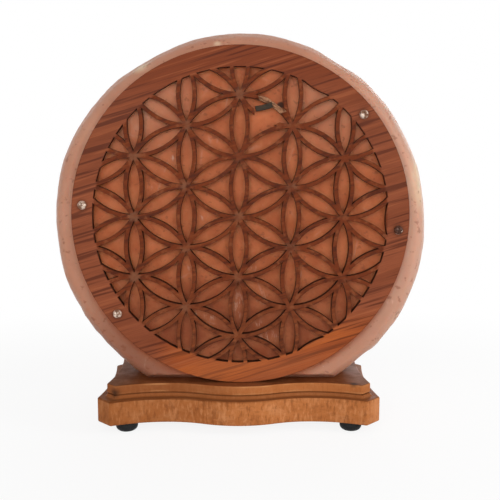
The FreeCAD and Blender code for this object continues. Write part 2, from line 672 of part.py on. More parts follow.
def strand_piece(centre, angles, rake):
    """Flat piece right across a strand of one circle, with raked ends."""
    inner, outer = CIRCLE_RADIUS - STRAND_WIDTH, CIRCLE_RADIUS + STRAND_WIDTH
    start, end = angles
    middle = (start + end) / 2
    corners = [on_circle(centre, inner, start - rake), on_circle(centre, inner, end + rake),
               on_circle(centre, outer, end - rake), on_circle(centre, outer, start + rake)]
    edges = [Part.Arc(corners[0], on_circle(centre, inner, middle), corners[1]).toShape(),
             Part.LineSegment(corners[1], corners[2]).toShape(),
             Part.Arc(corners[2], on_circle(centre, outer, middle), corners[3]).toShape(),
             Part.LineSegment(corners[3], corners[0]).toShape()]
    return Part.Face(Part.Wire(edges))


def stood_up(flat_solid):
    """The flat drawing stood in its place on the salt."""
    copy = turned(flat_solid, QUARTER_TURN, Vector(1, 0, 0))
    return moved(copy, 0, PANEL_BACK_Y, PANEL_Z)


def fretwork_panel():
    edge = Part.Wire(Part.makeCircle(PANEL_RADIUS))
    face = Part.makeFace([edge] + opening_wires(), "Part::FaceMakerBullseye")
    panel = face.extrude(UP * PANEL_THICKNESS)
    hole = PANEL_SCREW["thread"] + SNUG
    for x, z in panel_screw_places():
        panel = panel.cut(cylinder(hole, -SPARE, PANEL_THICKNESS + SPARE, x, z - PANEL_Z))
    gap = strand_piece(lattice_point(*BROKEN_CIRCLE), BREAK_ANGLES, BREAK_RAKE)
    panel = panel.cut(gap.extrude(UP * PANEL_THICKNESS))
    chip = strand_piece(lattice_point(*CHIPPED_CIRCLE), CHIP_ANGLES, CHIP_RAKE)
    panel = panel.cut(moved(chip.extrude(UP * PANEL_THICKNESS), z=PANEL_THICKNESS - CHIP_DEPTH))
    return stood_up(panel)


def broken_strand():
    """The piece snapped out of the broken strand, one end lying in the chip beside it."""
    gap = math.radians(BREAK_ANGLES[1] - BREAK_ANGLES[0]) * CIRCLE_RADIUS
    half, side = gap * SPLINTER_SHARE / 2, SPLINTER_WIDTH / 2
    low, high = Vector(0, -side - SPLINTER_BOW, 0), Vector(0, side - SPLINTER_BOW, 0)
    corners = [Vector(x * half, y * side, 0) for x, y in ((-1, -1), (1, -1), (1, 1), (-1, 1))]
    edges = [Part.Arc(corners[0], low, corners[1]).toShape(),
             Part.LineSegment(corners[1], corners[2]).toShape(),
             Part.Arc(corners[2], high, corners[3]).toShape(),
             Part.LineSegment(corners[3], corners[0]).toShape()]
    piece = Part.Face(Part.Wire(edges)).extrude(UP * CHIP_DEPTH)
    tilt = SPLINTER_TILT + PATTERN_TURN
    piece = turned(piece, tilt)
    meeting = on_circle(lattice_point(*CHIPPED_CIRCLE), CIRCLE_RADIUS, SPLINTER_ANGLE)
    place = on_circle(meeting, half + SPLINTER_SHORT, tilt + HALF_TURN)
    return stood_up(moved(piece, place.x, place.y, PANEL_THICKNESS - CHIP_DEPTH))


def panel_screw_places():
    """(x, z) of the panel's screws, midway across its plain border."""
    radius = PANEL_RADIUS - PANEL_BORDER / 2
    middle = Vector(0, PANEL_Z, 0)
    places = [on_circle(middle, radius, degrees) for degrees in PANEL_SCREW_ANGLES]
    return [(place.x, place.y) for place in places]


def panel_screw_reach():
    """How far a panel screw goes into the salt."""
    return PANEL_SCREW["length"] - PANEL_THICKNESS


def at_panel_screws(shape, y):
    """Copies of a screw or plug at the panel's screws, its mouth turned from +Z to -Y."""
    facing = turned(shape, QUARTER_TURN, Vector(1, 0, 0))
    return compound(moved(facing, x, y, z) for x, z in panel_screw_places())


# ---- base screws -------------------------------------------------------------------------------
def base_screw_reach():
    """How far a base screw goes up into the salt."""
    return BASE_BOTTOM + BASE_SCREW_SINK + BASE_SCREW["length"] - BASE_TOP


def at_base_screws(shape, height):
    return compound(moved(upside_down(shape), x, 0, height) for x in (-BASE_SCREW_X, BASE_SCREW_X))


# ---- holder ------------------------------------------------------------------------------------
def round_springs(shape):
    """Three copies, one at each spring clip."""
    return [turned(shape, angle) for angle in SPRING_ANGLES]


def cut_all(shape, tools):
    for tool in tools:
        shape = shape.cut(tool)
    return shape


def holder_plate():
    inner = NECK_RADIUS + HAIR
    plate = lathe((inner, PLATE_BOTTOM), (PLATE_RADIUS, PLATE_BOTTOM), (PLATE_RADIUS, PLATE_TOP),
                  (inner, PLATE_TOP))
    hole = cylinder(RIVET_RADIUS + SNUG, PLATE_BOTTOM - SPARE, PLATE_TOP + SPARE, RIVET_AT)
    return cut_all(plate, round_springs(hole))


def spring_clip():
    """Foot on the plate, leg up beside the socket, then over and down to press on the hole's wall."""
    half = SPRING_STOCK / 2
    leg = SOCKET_RADIUS + half + EASE
    wall = HOLE_RADIUS - EASE - half
    floor = PLATE_TOP + half
    top = floor + SPRING_RISE
    press = top - SPRING_PRESS_DROP
    path = [(wall, floor), (leg, floor), (leg, top), ((leg + wall) / 2, top), (wall, press),
            (wall - SPRING_BEND, press - SPRING_TAIL)]
    clip = bent_strip(path, SPRING_STOCK, SPRING_BEND, SPRING_WIDTH)
    return clip.cut(cylinder(RIVET_RADIUS + SNUG, PLATE_TOP - SPARE, PLATE_TOP + 2 * SPARE, RIVET_AT))


def clip_rivet():
    top, low = PLATE_TOP + SPRING_STOCK, PLATE_BOTTOM
    shank, head = RIVET_RADIUS, RIVET_HEAD
    lower, upper = (RIVET_FLAT, low - RIVET_RISE), (RIVET_FLAT, top + RIVET_RISE)
    rivet = lathe((0, low - RIVET_RISE), lower, swollen(lower, (head, low), RIVET_BULGE),
                  (shank, low), (shank, top), (head, top),
                  swollen((head, top), upper, RIVET_BULGE), (0, top + RIVET_RISE))
    return moved(rivet, RIVET_AT)


def socket_body():
    low = PLATE_TOP - SOCKET_NECK_LENGTH
    under_lip = SOCKET_TOP - SOCKET_LIP_THICKNESS
    lip = SOCKET_BORE - SOCKET_LIP
    edge, rim = (SOCKET_RADIUS, SOCKET_TOP - EDGE_ROUND), (SOCKET_RADIUS - EDGE_ROUND, SOCKET_TOP)
    return lathe((NECK_BORE, low), (NECK_RADIUS, low), (NECK_RADIUS, PLATE_TOP),
                 (SOCKET_RADIUS, PLATE_TOP), edge, swollen(edge, rim, EDGE_ROUND * QUARTER_BULGE),
                 (lip, SOCKET_TOP), (lip, under_lip), (SOCKET_BORE, under_lip),
                 (SOCKET_BORE, CORE_LEDGE), (NECK_BORE, CORE_LEDGE))


def contact_legs():
    """X ranges of the legs of the centre contact and the side contact."""
    centre = TERMINAL_TO_LEG - TERMINAL_X
    side = TERMINAL_TO_LEG + TERMINAL_X
    return (centre, centre + CONTACT_STOCK), (side, side + CONTACT_STOCK)


def socket_core():
    """Ceramic core, with slots for the contacts' legs and holes for the terminal screws."""
    small, large = NECK_BORE - HAIR, SOCKET_BORE - HAIR
    core = lathe((0, CORE_BOTTOM), (small, CORE_BOTTOM), (small, CORE_LEDGE), (large, CORE_LEDGE),
                 (large, CORE_TOP), (0, CORE_TOP))
    across = CONTACT_WIDTH / 2 + HAIR
    for near, far in contact_legs():
        slot = block((near - HAIR, far + HAIR), (-across, across), (CORE_BOTTOM, CORE_TOP))
        core = core.cut(slot)
    top = CORE_BOTTOM + TERMINAL_BITE + SPARE
    holes = [cylinder(TERMINAL_RADIUS + SNUG, CORE_BOTTOM, top, x) for x in (-TERMINAL_X, TERMINAL_X)]
    return cut_all(core, holes)


def contact(leg, terminal_x):
    """Bent strip: a leg up through the core and a tab under it, drilled for the terminal screw."""
    across = (-CONTACT_WIDTH / 2, CONTACT_WIDTH / 2)
    under = CORE_BOTTOM - CONTACT_STOCK
    outer = terminal_x - TERMINAL_TO_LEG - CONTACT_STOCK
    tab = block((outer, leg[1]), across, (under, CORE_BOTTOM))
    upright = block(leg, across, (under, CORE_TOP))
    hole = cylinder(TERMINAL_RADIUS + SNUG, under - SPARE, CORE_BOTTOM + SPARE, terminal_x)
    return tab.fuse(upright).cut(hole).removeSplitter()


def centre_contact():
    """Contact with a pad across the core and a stud up to the bulb's tip."""
    leg = contact_legs()[0]
    across = (-CONTACT_WIDTH / 2, CONTACT_WIDTH / 2)
    pad = block((leg[0], CONTACT_WIDTH / 2), across, (CORE_TOP, CORE_TOP + CONTACT_STOCK))
    stud = cylinder(CONTACT_STUD_RADIUS, CORE_TOP, BULB_TIP - EASE)
    return contact(leg, -TERMINAL_X).fuse(pad).fuse(stud).removeSplitter()


def terminal_screws():
    seat = CORE_BOTTOM - CONTACT_STOCK
    low, point = seat - TERMINAL_HEAD_HEIGHT, seat + TERMINAL_BITE
    body = lathe((0, low), (TERMINAL_HEAD_RADIUS, low), (TERMINAL_HEAD_RADIUS, seat),
                 (TERMINAL_RADIUS, seat), (TERMINAL_RADIUS, point), (0, point))
    reach, across = TERMINAL_HEAD_RADIUS + SPARE, SCREW_SLOT_WIDTH / 2
    body = body.cut(block((-reach, reach), (-across, across), (low - SPARE, low + SCREW_SLOT_WIDTH)))
    return compound(moved(body, x) for x in (-TERMINAL_X, TERMINAL_X))


def thread_rings(radius):
    """Rounded rings of a rolled thread about a mean radius, as steps of an outline going up."""
    steps = []
    quarter, swing = THREAD_PITCH / 4, THREAD_DEPTH / 2
    for ring in range(THREAD_TURNS):
        z = THREAD_START + ring * THREAD_PITCH
        steps += [((radius + swing, z + quarter), (radius, z + 2 * quarter)),
                  ((radius - swing, z + 3 * quarter), (radius, z + 4 * quarter))]
    return steps


def socket_screw_shell():
    inner = BULB_CAP_RADIUS + EASE - THREAD_DEPTH / 2
    outer = inner + SHELL_SHEET
    rim = inner + SHELL_FLANGE
    return lathe((inner, CORE_TOP), (rim, CORE_TOP), (rim, CORE_TOP + SHELL_SHEET),
                 (outer, CORE_TOP + SHELL_SHEET), (outer, THREAD_START), *thread_rings(outer),
                 (outer, SHELL_TOP), (inner, SHELL_TOP), (inner, THREAD_END),
                 *backwards((inner, THREAD_START), thread_rings(inner)))


def socket_cover():
    """Round cover pressed on the socket's neck under the plate, notched for the rivets' heads."""
    floor, collar = COVER_BOTTOM + COVER_FLOOR, COVER_TOP - COVER_COLLAR
    grip, inner = NECK_RADIUS + HAIR, COVER_RADIUS - COVER_WALL
    rim, side = (COVER_RADIUS - EDGE_ROUND, COVER_BOTTOM), (COVER_RADIUS, COVER_BOTTOM + EDGE_ROUND)
    cover = lathe((0, COVER_BOTTOM), rim, swollen(rim, side, EDGE_ROUND * QUARTER_BULGE),
                  (COVER_RADIUS, COVER_TOP), (grip, COVER_TOP), (grip, collar), (inner, collar),
                  (inner, floor), (0, floor))
    outlet = rod_back(GLAND_SPIGOT + SNUG, inner - COVER_WALL, COVER_RADIUS + SPARE, GLAND_Z)
    seat = rod_back(GLAND_RADIUS + EASE, GLAND_SEAT_Y, COVER_RADIUS + SPARE, GLAND_Z)
    notch = cylinder(RIVET_HEAD + HAIR, PLATE_BOTTOM - RIVET_RISE - EASE, COVER_TOP + SPARE, RIVET_AT)
    return cut_all(cover, [outlet, seat] + round_springs(notch))


def cord_gland():
    """Flanged bush in the cover's side for the cord to come out through."""
    spigot = rod_back(GLAND_SPIGOT, GLAND_SEAT_Y - COVER_WALL, GLAND_SEAT_Y, GLAND_Z)
    flange = rod_back(GLAND_RADIUS, GLAND_SEAT_Y, GLAND_SEAT_Y + GLAND_FLANGE, GLAND_Z)
    root, end = GLAND_SEAT_Y + GLAND_FLANGE, GLAND_SEAT_Y + GLAND_LENGTH
    nose_radius = GLAND_SPIGOT + GLAND_NOSE_STEP
    nose = Part.makeCone(nose_radius, nose_radius - GLAND_TAPER / 2, end - root,
                         Vector(0, root, GLAND_Z), BACK)
    bore = rod_back(GLAND_BORE, GLAND_SEAT_Y - COVER_WALL - SPARE, end + SPARE, GLAND_Z)
    return spigot.fuse(flange).fuse(nose).cut(bore).removeSplitter()


# ---- bulb --------------------------------------------------------------------------------------
def bulb_cap():
    turn_in, top = CAP_INNER - CAP_TURN_IN, THREAD_END + CAP_SKIRT
    return lathe((turn_in, CAP_FOOT), (CAP_INNER, CAP_FOOT), (CAP_OUTER, CAP_FOOT + CAP_SHEET),
                 (CAP_OUTER, THREAD_START), *thread_rings(CAP_OUTER), (CAP_OUTER, top),
                 (CAP_INNER, top), (CAP_INNER, THREAD_END),
                 *backwards((CAP_INNER, THREAD_START), thread_rings(CAP_INNER)),
                 (CAP_INNER, CAP_FOOT + CAP_SHEET), (turn_in, CAP_FOOT + CAP_SHEET))


def bulb_insulator():
    low, edge = BULB_TIP + TIP_HEIGHT, CAP_INNER - CAP_TURN_IN - SNUG
    return lathe((0, low), (TIP_RADIUS + CAP_SHEET, low), (edge, CAP_FOOT),
                 (edge, CAP_FOOT + 2 * CAP_SHEET), (0, CAP_FOOT + 2 * CAP_SHEET))


def bulb_tip_contact():
    face = (TIP_FLAT, BULB_TIP)
    top = BULB_TIP + TIP_HEIGHT
    return lathe((0, BULB_TIP), face, swollen(face, (TIP_RADIUS, top), CAP_SHEET), (0, top))


def glass_outline(inset):
    """Start and steps of the bulb's glass from neck to crown, set in by a distance."""
    neck, belly = GLASS_NECK - inset, BULB_RADIUS - inset
    neck_top = GLASS_BOTTOM + GLASS_NECK_LENGTH
    shoulder = neck_top + GLASS_SHOULDER
    out, up = GLASS_SWELL
    swell = (neck + (belly - neck) * out, neck_top + GLASS_SHOULDER * up)
    crown = belly * math.sqrt(0.5)
    steps = [(neck, neck_top), (swell, (belly, shoulder)), (belly, GLASS_CENTRE),
             ((crown, GLASS_CENTRE + crown), (0, GLASS_CENTRE + belly))]
    return (neck, GLASS_BOTTOM), steps


def bulb_glass():
    outer_start, outer_steps = glass_outline(0)
    inner_start, inner_steps = glass_outline(GLASS_WALL)
    return lathe(outer_start, *outer_steps, (0, GLASS_CENTRE + BULB_RADIUS - GLASS_WALL),
                 *backwards(inner_start, inner_steps))


def bulb_stem():
    """Glass stem with a flared foot sealed into the neck."""
    flare = GLASS_NECK - GLASS_WALL - SNUG
    foot, waist = (flare, GLASS_BOTTOM + STEM_RIM), (STEM_RADIUS, GLASS_BOTTOM + STEM_FLARE)
    edge, end = (STEM_RADIUS, STEM_TOP - STEM_NOSE), (STEM_NOSE_RADIUS, STEM_TOP)
    return lathe((0, GLASS_BOTTOM), (flare, GLASS_BOTTOM), foot,
                 swollen(foot, waist, -STEM_FLARE_HOLLOW), edge,
                 swollen(edge, end, STEM_NOSE_BULGE), (0, STEM_TOP))


def bulb_lead_wires():
    wires = []
    for side in (-1, 1):
        root, tip = side * WIRE_ROOT, side * FILAMENT_HALF_SPAN
        path = [(root, STEM_TOP), (root, STEM_TOP + 2 * WIRE_BEND),
                (tip, FILAMENT_Z - 2 * WIRE_BEND), (tip, FILAMENT_Z)]
        wires.append(round_wire(path, WIRE_BEND, WIRE_RADIUS))
    return compound(wires)


def bulb_filament():
    """Arched filament standing on the tips of the two wires."""
    half, foot = FILAMENT_HALF_SPAN, FILAMENT_Z + FILAMENT_RADIUS
    radius = (half ** 2 + FILAMENT_RISE ** 2) / (2 * FILAMENT_RISE)
    centre = Vector(0, 0, foot + FILAMENT_RISE - radius)
    start = Vector(-half, 0, foot)
    sweep = 2 * math.degrees(math.atan2(half, radius - FILAMENT_RISE))
    ring = Part.Face(Part.Wire(Part.makeCircle(FILAMENT_RADIUS, start, BACK.cross(start - centre))))
    return ring.revolve(centre, BACK, sweep)


# ---- everything --------------------------------------------------------------------------------
def pieces():
    """Every named piece of the lamp."""
    panel_plug = plug(PANEL_PLUG_RADIUS, panel_screw_reach(), PANEL_SCREW["thread"])
    base_plug = plug(BASE_PLUG_RADIUS, base_screw_reach(), BASE_SCREW["thread"])
    made = {
        "base_board": base_board(),
        "foot_washers": at_feet(foot_washer()),
        "foot_screws": at_feet(foot_screw()),
        "salt_crystal": salt_plate(),
        "base_screws": at_base_screws(screw(**BASE_SCREW), BASE_BOTTOM + BASE_SCREW_SINK),
        "base_plugs": at_base_screws(base_plug, BASE_TOP),
        "fretwork_panel": fretwork_panel(),
        "broken_strand": broken_strand(),
        "panel_screws": at_panel_screws(screw(**PANEL_SCREW), PANEL_FRONT_Y),
        "panel_plugs": at_panel_screws(panel_plug, PANEL_BACK_Y),
        "holder_plate": holder_plate(),
        "clip_rivets": compound(round_springs(clip_rivet())),
        "socket_body": socket_body(),
        "socket_core": socket_core(),
        "socket_screw_shell": socket_screw_shell(),
        "centre_contact": centre_contact(),
        "side_contact": contact(contact_legs()[1], TERMINAL_X),
        "terminal_screws": terminal_screws(),
        "socket_cover": socket_cover(),
        "cord_gland": cord_gland(),
        "bulb_glass": bulb_glass(),
        "bulb_cap": bulb_cap(),
        "bulb_insulator": bulb_insulator(),
        "bulb_tip_contact": bulb_tip_contact(),
        "bulb_stem": bulb_stem(),
        "bulb_lead_wires": bulb_lead_wires(),
        "bulb_filament": bulb_filament(),
    }
    for name, (x, y) in foot_places().items():
        made["foot_" + name] = moved(foot(), x, y)
    for number, clip in enumerate(round_springs(spring_clip()), 1):
        made["spring_clip_%d" % number] = clip
    return made


def main():
    os.makedirs("parts", exist_ok=True)
    for name, shape in sorted(pieces().items()):
        sound = shape.isValid() and all(solid.Volume > 0 for solid in shape.Solids)
        print("%-20s %2d solid(s) %12.1f mm3 %s" % (name, len(shape.Solids), shape.Volume, sound))
        shape.exportStep(os.path.join("parts", name + ".step"))


main()
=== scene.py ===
"""Looks of a salt crystal lamp: rock salt behind a pierced wooden disc, on a moulded wooden base.

Metres, in the lamp's own frame: the origin is on the table, +Z is up and the disc faces -Y.
"""

import math

import bmesh
import bpy
from mathutils import Matrix, Vector, noise


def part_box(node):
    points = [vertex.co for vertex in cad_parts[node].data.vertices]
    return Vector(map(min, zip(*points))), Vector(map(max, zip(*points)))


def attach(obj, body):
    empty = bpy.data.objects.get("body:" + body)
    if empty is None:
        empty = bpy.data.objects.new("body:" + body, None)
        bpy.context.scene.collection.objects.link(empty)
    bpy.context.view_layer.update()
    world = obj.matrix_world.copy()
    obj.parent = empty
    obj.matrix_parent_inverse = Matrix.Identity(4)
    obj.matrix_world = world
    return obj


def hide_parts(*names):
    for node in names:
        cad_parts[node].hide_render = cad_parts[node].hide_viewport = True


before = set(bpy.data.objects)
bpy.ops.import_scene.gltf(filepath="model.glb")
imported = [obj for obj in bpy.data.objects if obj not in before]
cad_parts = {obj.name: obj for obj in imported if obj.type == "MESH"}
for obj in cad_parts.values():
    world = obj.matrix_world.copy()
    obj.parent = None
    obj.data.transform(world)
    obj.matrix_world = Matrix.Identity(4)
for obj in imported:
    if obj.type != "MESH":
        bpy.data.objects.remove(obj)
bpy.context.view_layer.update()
MM = 0.001

# ---- camera and light --------------------------------------------------------------------------
CAMERA_AT = (1.36 * MM, -522.5 * MM, 177.55 * MM)
CAMERA_YAW = -0.55        # degrees
CAMERA_DOWN = 6.7
CAMERA_ROLL = 0.05
CAMERA_LENS = 54.0        # mm on a 36 mm sensor
LOOKED_AT = Vector((0, 0, 0.13))
AMBIENT = 0.4
# name, place, size across and up, watts, colour
LAMPS = (
    ("key", (-0.35, -1.3, 0.5), (1.0, 0.8), 6.0, (1.0, 0.99, 0.97)),
    ("fill", (0.6, -1.2, 0.25), (0.8, 0.8), 3.0, (1.0, 1.0, 1.0)),
    ("window", (0.85, -0.25, 0.42), (0.25, 0.35), 2.2, (0.97, 0.99, 1.0)),
    ("back", (0.3, 1.4, 0.35), (1.0, 0.8), 6.0, (1.0, 1.0, 1.0)),
)
FLOOR_RADIUS = 6.0
FLOOR_FADE = (0.16, 0.42)  # the floor's shade fades to white between these distances

# ---- salt --------------------------------------------------------------------------------------
SALT_FACE_Y = -30.5       # mm, its front face
WELL_RADIUS = 22.0 * MM
WELL_TOP = 121.2 * MM
SALT_STEPS = 400          # around the rim
# Outline of half the plate, from the middle of its front to the middle of its thickness:
# radius inside the rim's, depth behind the front face.
SALT_PROFILE = ((14.0, 0.0), (10.8, 0.0), (9.6, 0.5), (7.8, 2.0), (6.2, 3.9), (5.2, 5.6),
                (4.6, 7.4), (3.5, 10.8), (2.3, 14.4), (1.2, 18.2), (0.4, 22.0), (0.0, 26.2))
# The rim isn't quite round: degrees round from +X, millimetres out.
SALT_WAVES = ((-1, -0.3), (7, -0.7), (18, -0.3), (28, -0.8), (40, 0.0), (48, 0.4), (58, -0.9), (70, 0.0),
              (85, 0.45), (100, 0.0), (119, -1.1), (136, 0.0), (158, 1.0), (174, 0.1), (185, -0.7),
              (196, -0.1), (208, -0.9), (224, -1.2), (238, -0.3), (270, 0.0), (304, -0.2), (312, -0.9),
              (319, 0.5), (333, 0.8), (348, 0.3))
CHIPPED = (196.0, 244.0)  # degrees between which the rim is scalloped
CHIP_DEPTH = 0.9 * MM
RIM_OUT = 0.35 * MM       # how far the rough rim stands out past the plain round, on average
TOE_HEIGHT = 4.2 * MM     # slant along the front and back edges of the sawn flat
TOE_DEPTH = 8.0 * MM
RIM_ROUGHNESS = ((0.45 * MM, 60), (0.22 * MM, 170))  # depth and grain

# ---- panel -------------------------------------------------------------------------------------
PANEL_Z = 141.5 * MM
PANEL_RADIUS = 110.0 * MM
WINDOW_RADIUS = 96.5 * MM
PATTERN_CENTRE = (-1.3 * MM, 0.0, 141.6 * MM)
PATTERN_TURN = math.radians(-0.5)
CIRCLE_RADIUS = 39.4 * MM  # radius and spacing of the interlaced circles
STRAND_WIDTH = 2.6 * MM
GRAIN_TILT = 17.0          # degrees that the grain rises to the right
# Paler flaws in the salt's front face, in millimetres: across, up, half width, half height.
SALT_FLAWS = ((-1.9, 83.0, 4.6, 12.0), (14.0, 88.0, 5.0, 6.0), (11.5, 71.5, 3.2, 4.2),
              (19.5, 61.5, 9.0, 5.0), (-43.4, 180.0, 3.6, 3.0), (-59.3, 160.6, 2.6, 3.6),
              (-24.8, 141.6, 4.2, 3.0), (-20.0, 75.5, 6.0, 4.0), (9.0, 107.5, 5.0, 2.4),
              (99.5, 84.8, 3.5, 2.5), (-34.0, 108.0, 2.4, 3.0))
# Paler patches on its rim, in the same way; the last, on the right, is a painted highlight, the window's
# reflection.
RIM_PATCHES_AND_HIGHLIGHT = ((-65.0, 239.0, 10.0, 7.0), (-14.7, 252.6, 4.0, 3.0), (118.0, 165.0, 12.0, 26.0))
SPLINTER_TILT = math.radians(13.5)
LEDGE_Y = -33.3           # mm, the split strand's torn face
SPLIT_CENTRE = (-1.0, 181.0)
# Slivers on it: degrees at start and end, radius, drift, height, width.
SLIVERS = ((72.0, 60.0, 40.2, 1.0, 1.3, 1.5), (69.0, 52.0, 39.6, 1.3, 1.6, 1.3),
           (63.0, 47.0, 38.8, 1.2, 1.2, 1.2), (71.0, 63.0, 39.0, -0.6, 0.9, 1.1),
           (55.0, 46.0, 40.2, 0.9, 1.0, 1.0))
# Dark marks on the base, in millimetres: place, half width, half height. A crack has one half width.
BASE_STAINS = ((-83.5, -45.0, 26.5, 7.0, 5.0), (75.1, -39.2, 31.2, 4.0, 3.0))
BASE_CRACKS = ((81.5, -46.0, 15.3, 7.0), (83.4, -44.0, 13.0, 4.0), (-66.4, -48.0, 15.0, 7.5),
               (-16.9, -46.0, 14.0, 7.5))
CRACK_WIDTH = 0.45
WORN_AND_LIT_EDGES = ((25.6, 26.2), (30.4, 31.0))  # heights of the table's lower and upper edges, paler with wear and a painted highlight
SCREW_PLACES = ((79.1 * MM, -35.5 * MM, 207.9 * MM), (-102.9 * MM, -35.5 * MM, 149.6 * MM),
                (-81.4 * MM, -35.5 * MM, 77.9 * MM), (102.9 * MM, -35.5 * MM, 133.4 * MM))


def srgb(red, green, blue):
    """Linear colour from values of 0 to 255."""
    def linear(value):
        value /= 255
        return value / 12.92 if value <= 0.04045 else ((value + 0.055) / 1.055) ** 2.4
    return (linear(red), linear(green), linear(blue), 1.0)


# ---- node helpers ------------------------------------------------------------------------------
class Surface:
    """A material under construction, with one Principled shader."""

    def __init__(self, name):
        self.material = bpy.data.materials.new(name)
        self.material.use_nodes = True
        self.tree = self.material.node_tree
        self.shader = self.tree.nodes["Principled BSDF"]
        self.place = self.add("ShaderNodeTexCoord").outputs["Object"]

    def add(self, kind, **settings):
        node = self.tree.nodes.new(kind)
        for name, value in settings.items():
            setattr(node, name, value)
        return node

    def put(self, socket, value):
        """Sets a socket to a value, or links it to another socket."""
        if isinstance(value, bpy.types.NodeSocket):
            self.tree.links.new(value, socket)
        else:
            socket.default_value = value

    def set(self, **values):
        for name, value in values.items():
            self.put(self.shader.inputs[name.replace("_", " ")], value)
        return self

    def math(self, operation, *values, clamp=False):
        node = self.add("ShaderNodeMath", operation=operation, use_clamp=clamp)
        for socket, value in zip(node.inputs, values):
            self.put(socket, value)
        return node.outputs[0]

    def vector(self, operation, *values):
        node = self.add("ShaderNodeVectorMath", operation=operation)
        for socket, value in zip(node.inputs, values):
            self.put(socket, value)
        return node.outputs["Value" if operation in ("LENGTH", "DOT_PRODUCT", "DISTANCE") else "Vector"]

    def part(self, vector, axis):
        node = self.add("ShaderNodeSeparateXYZ")
        self.put(node.inputs[0], vector)
        return node.outputs["XYZ".index(axis)]

    def mapped(self, scale, turn=(0, 0, 0), shift=(0, 0, 0)):
        """Object coordinates turned by degrees, then scaled along each axis."""
        turned = self.add("ShaderNodeMapping")
        self.put(turned.inputs["Vector"], self.place)
        turned.inputs["Rotation"].default_value = [math.radians(angle) for angle in turn]
        stretched = self.add("ShaderNodeMapping")
        self.put(stretched.inputs["Vector"], turned.outputs[0])
        stretched.inputs["Scale"].default_value = scale
        stretched.inputs["Location"].default_value = shift
        return stretched.outputs[0]

    def noise(self, vector, scale=1.0, detail=2.0, rough=0.5, distortion=0.0):
        node = self.add("ShaderNodeTexNoise")
        self.put(node.inputs["Vector"], vector)
        for name, value in (("Scale", scale), ("Detail", detail), ("Roughness", rough),
                            ("Distortion", distortion)):
            node.inputs[name].default_value = value
        return node.outputs["Fac"]

    def cells(self, vector, scale, feature="F1"):
        node = self.add("ShaderNodeTexVoronoi", feature=feature)
        self.put(node.inputs["Vector"], vector)
        node.inputs["Scale"].default_value = scale
        return node.outputs["Distance"]

    def span(self, value, low, high, start=0.0, end=1.0):
        """Smooth step of a value from start to end between low and high."""
        node = self.add("ShaderNodeMapRange", interpolation_type="SMOOTHSTEP")
        for socket, given in zip(node.inputs, (value, low, high, start, end)):
            self.put(socket, given)
        return node.outputs[0]

    def mix(self, share, first, second, blend="MIX"):
        node = self.add("ShaderNodeMix", data_type="RGBA", blend_type=blend)
        self.put(node.inputs["Factor"], share)
        self.put(node.inputs[6], first)
        self.put(node.inputs[7], second)
        return node.outputs[2]

    def spot(self, centre, reach, soft=0.5):
        """One at a place and nought outside its reach along each axis, with a soft edge."""
        away = self.vector("SUBTRACT", self.place, centre)
        away = self.vector("DIVIDE", away, reach)
        return self.span(self.vector("LENGTH", away), 1.0, 1.0 - soft)

    def most(self, values):
        total = values[0]
        for value in values[1:]:
            total = self.math("MAXIMUM", total, value)
        return total

    def within(self, value, low, high, soft):
        """One where a value lies between two bounds, fading over a soft width outside them."""
        return self.math("MULTIPLY", self.span(value, low - soft, low), self.span(value, high + soft, high))

    def object_normal(self):
        return self.add("ShaderNodeTexCoord").outputs["Normal"]

    def round_about(self, centre):
        """Distance from the line through a centre along Y."""
        away = self.vector("SUBTRACT", self.place, centre)
        return self.vector("LENGTH", self.vector("MULTIPLY", away, (1, 0, 1)))

    def from_crossing(self):
        """The way to this place from the nearest crossing of the pattern's circles."""
        turned = self.add("ShaderNodeVectorRotate", rotation_type="Y_AXIS")
        self.put(turned.inputs["Vector"], self.vector("SUBTRACT", self.place, PATTERN_CENTRE))
        turned.inputs["Angle"].default_value = PATTERN_TURN
        half = Vector((CIRCLE_RADIUS * math.sqrt(3) / 2, 0, CIRCLE_RADIUS / 2))
        first = self.vector("WRAP", turned.outputs[0], half, -half)
        second = self.vector("WRAP", self.vector("SUBTRACT", turned.outputs[0], half), half, -half)
        nearer = self.math("LESS_THAN", self.vector("LENGTH", second), self.vector("LENGTH", first))
        return self.vector("MULTIPLY_ADD", self.vector("SUBTRACT", second, first), nearer, first)

    def off_strand(self, way):
        """Distance from the middle of the nearest strand, from the way to the nearest crossing."""
        nearest = None
        for angle in range(30, 390, 60):
            turn = math.radians(angle)
            middle = (CIRCLE_RADIUS * math.cos(turn), 0, CIRCLE_RADIUS * math.sin(turn))
            off = self.math("SUBTRACT", self.vector("DISTANCE", way, middle), CIRCLE_RADIUS)
            off = self.math("ABSOLUTE", off)
            nearest = off if nearest is None else self.math("MINIMUM", nearest, off)
        return nearest

    def bump(self, *layers):
        """Stacks (height, distance) layers into the shader's normal."""
        normal = None
        for height, distance in layers:
            node = self.add("ShaderNodeBump")
            node.inputs["Strength"].default_value = 1.0
            node.inputs["Distance"].default_value = distance
            self.put(node.inputs["Height"], height)
            if normal is not None:
                self.put(node.inputs["Normal"], normal)
            normal = node.outputs[0]
        self.put(self.shader.inputs["Normal"], normal)
        return self


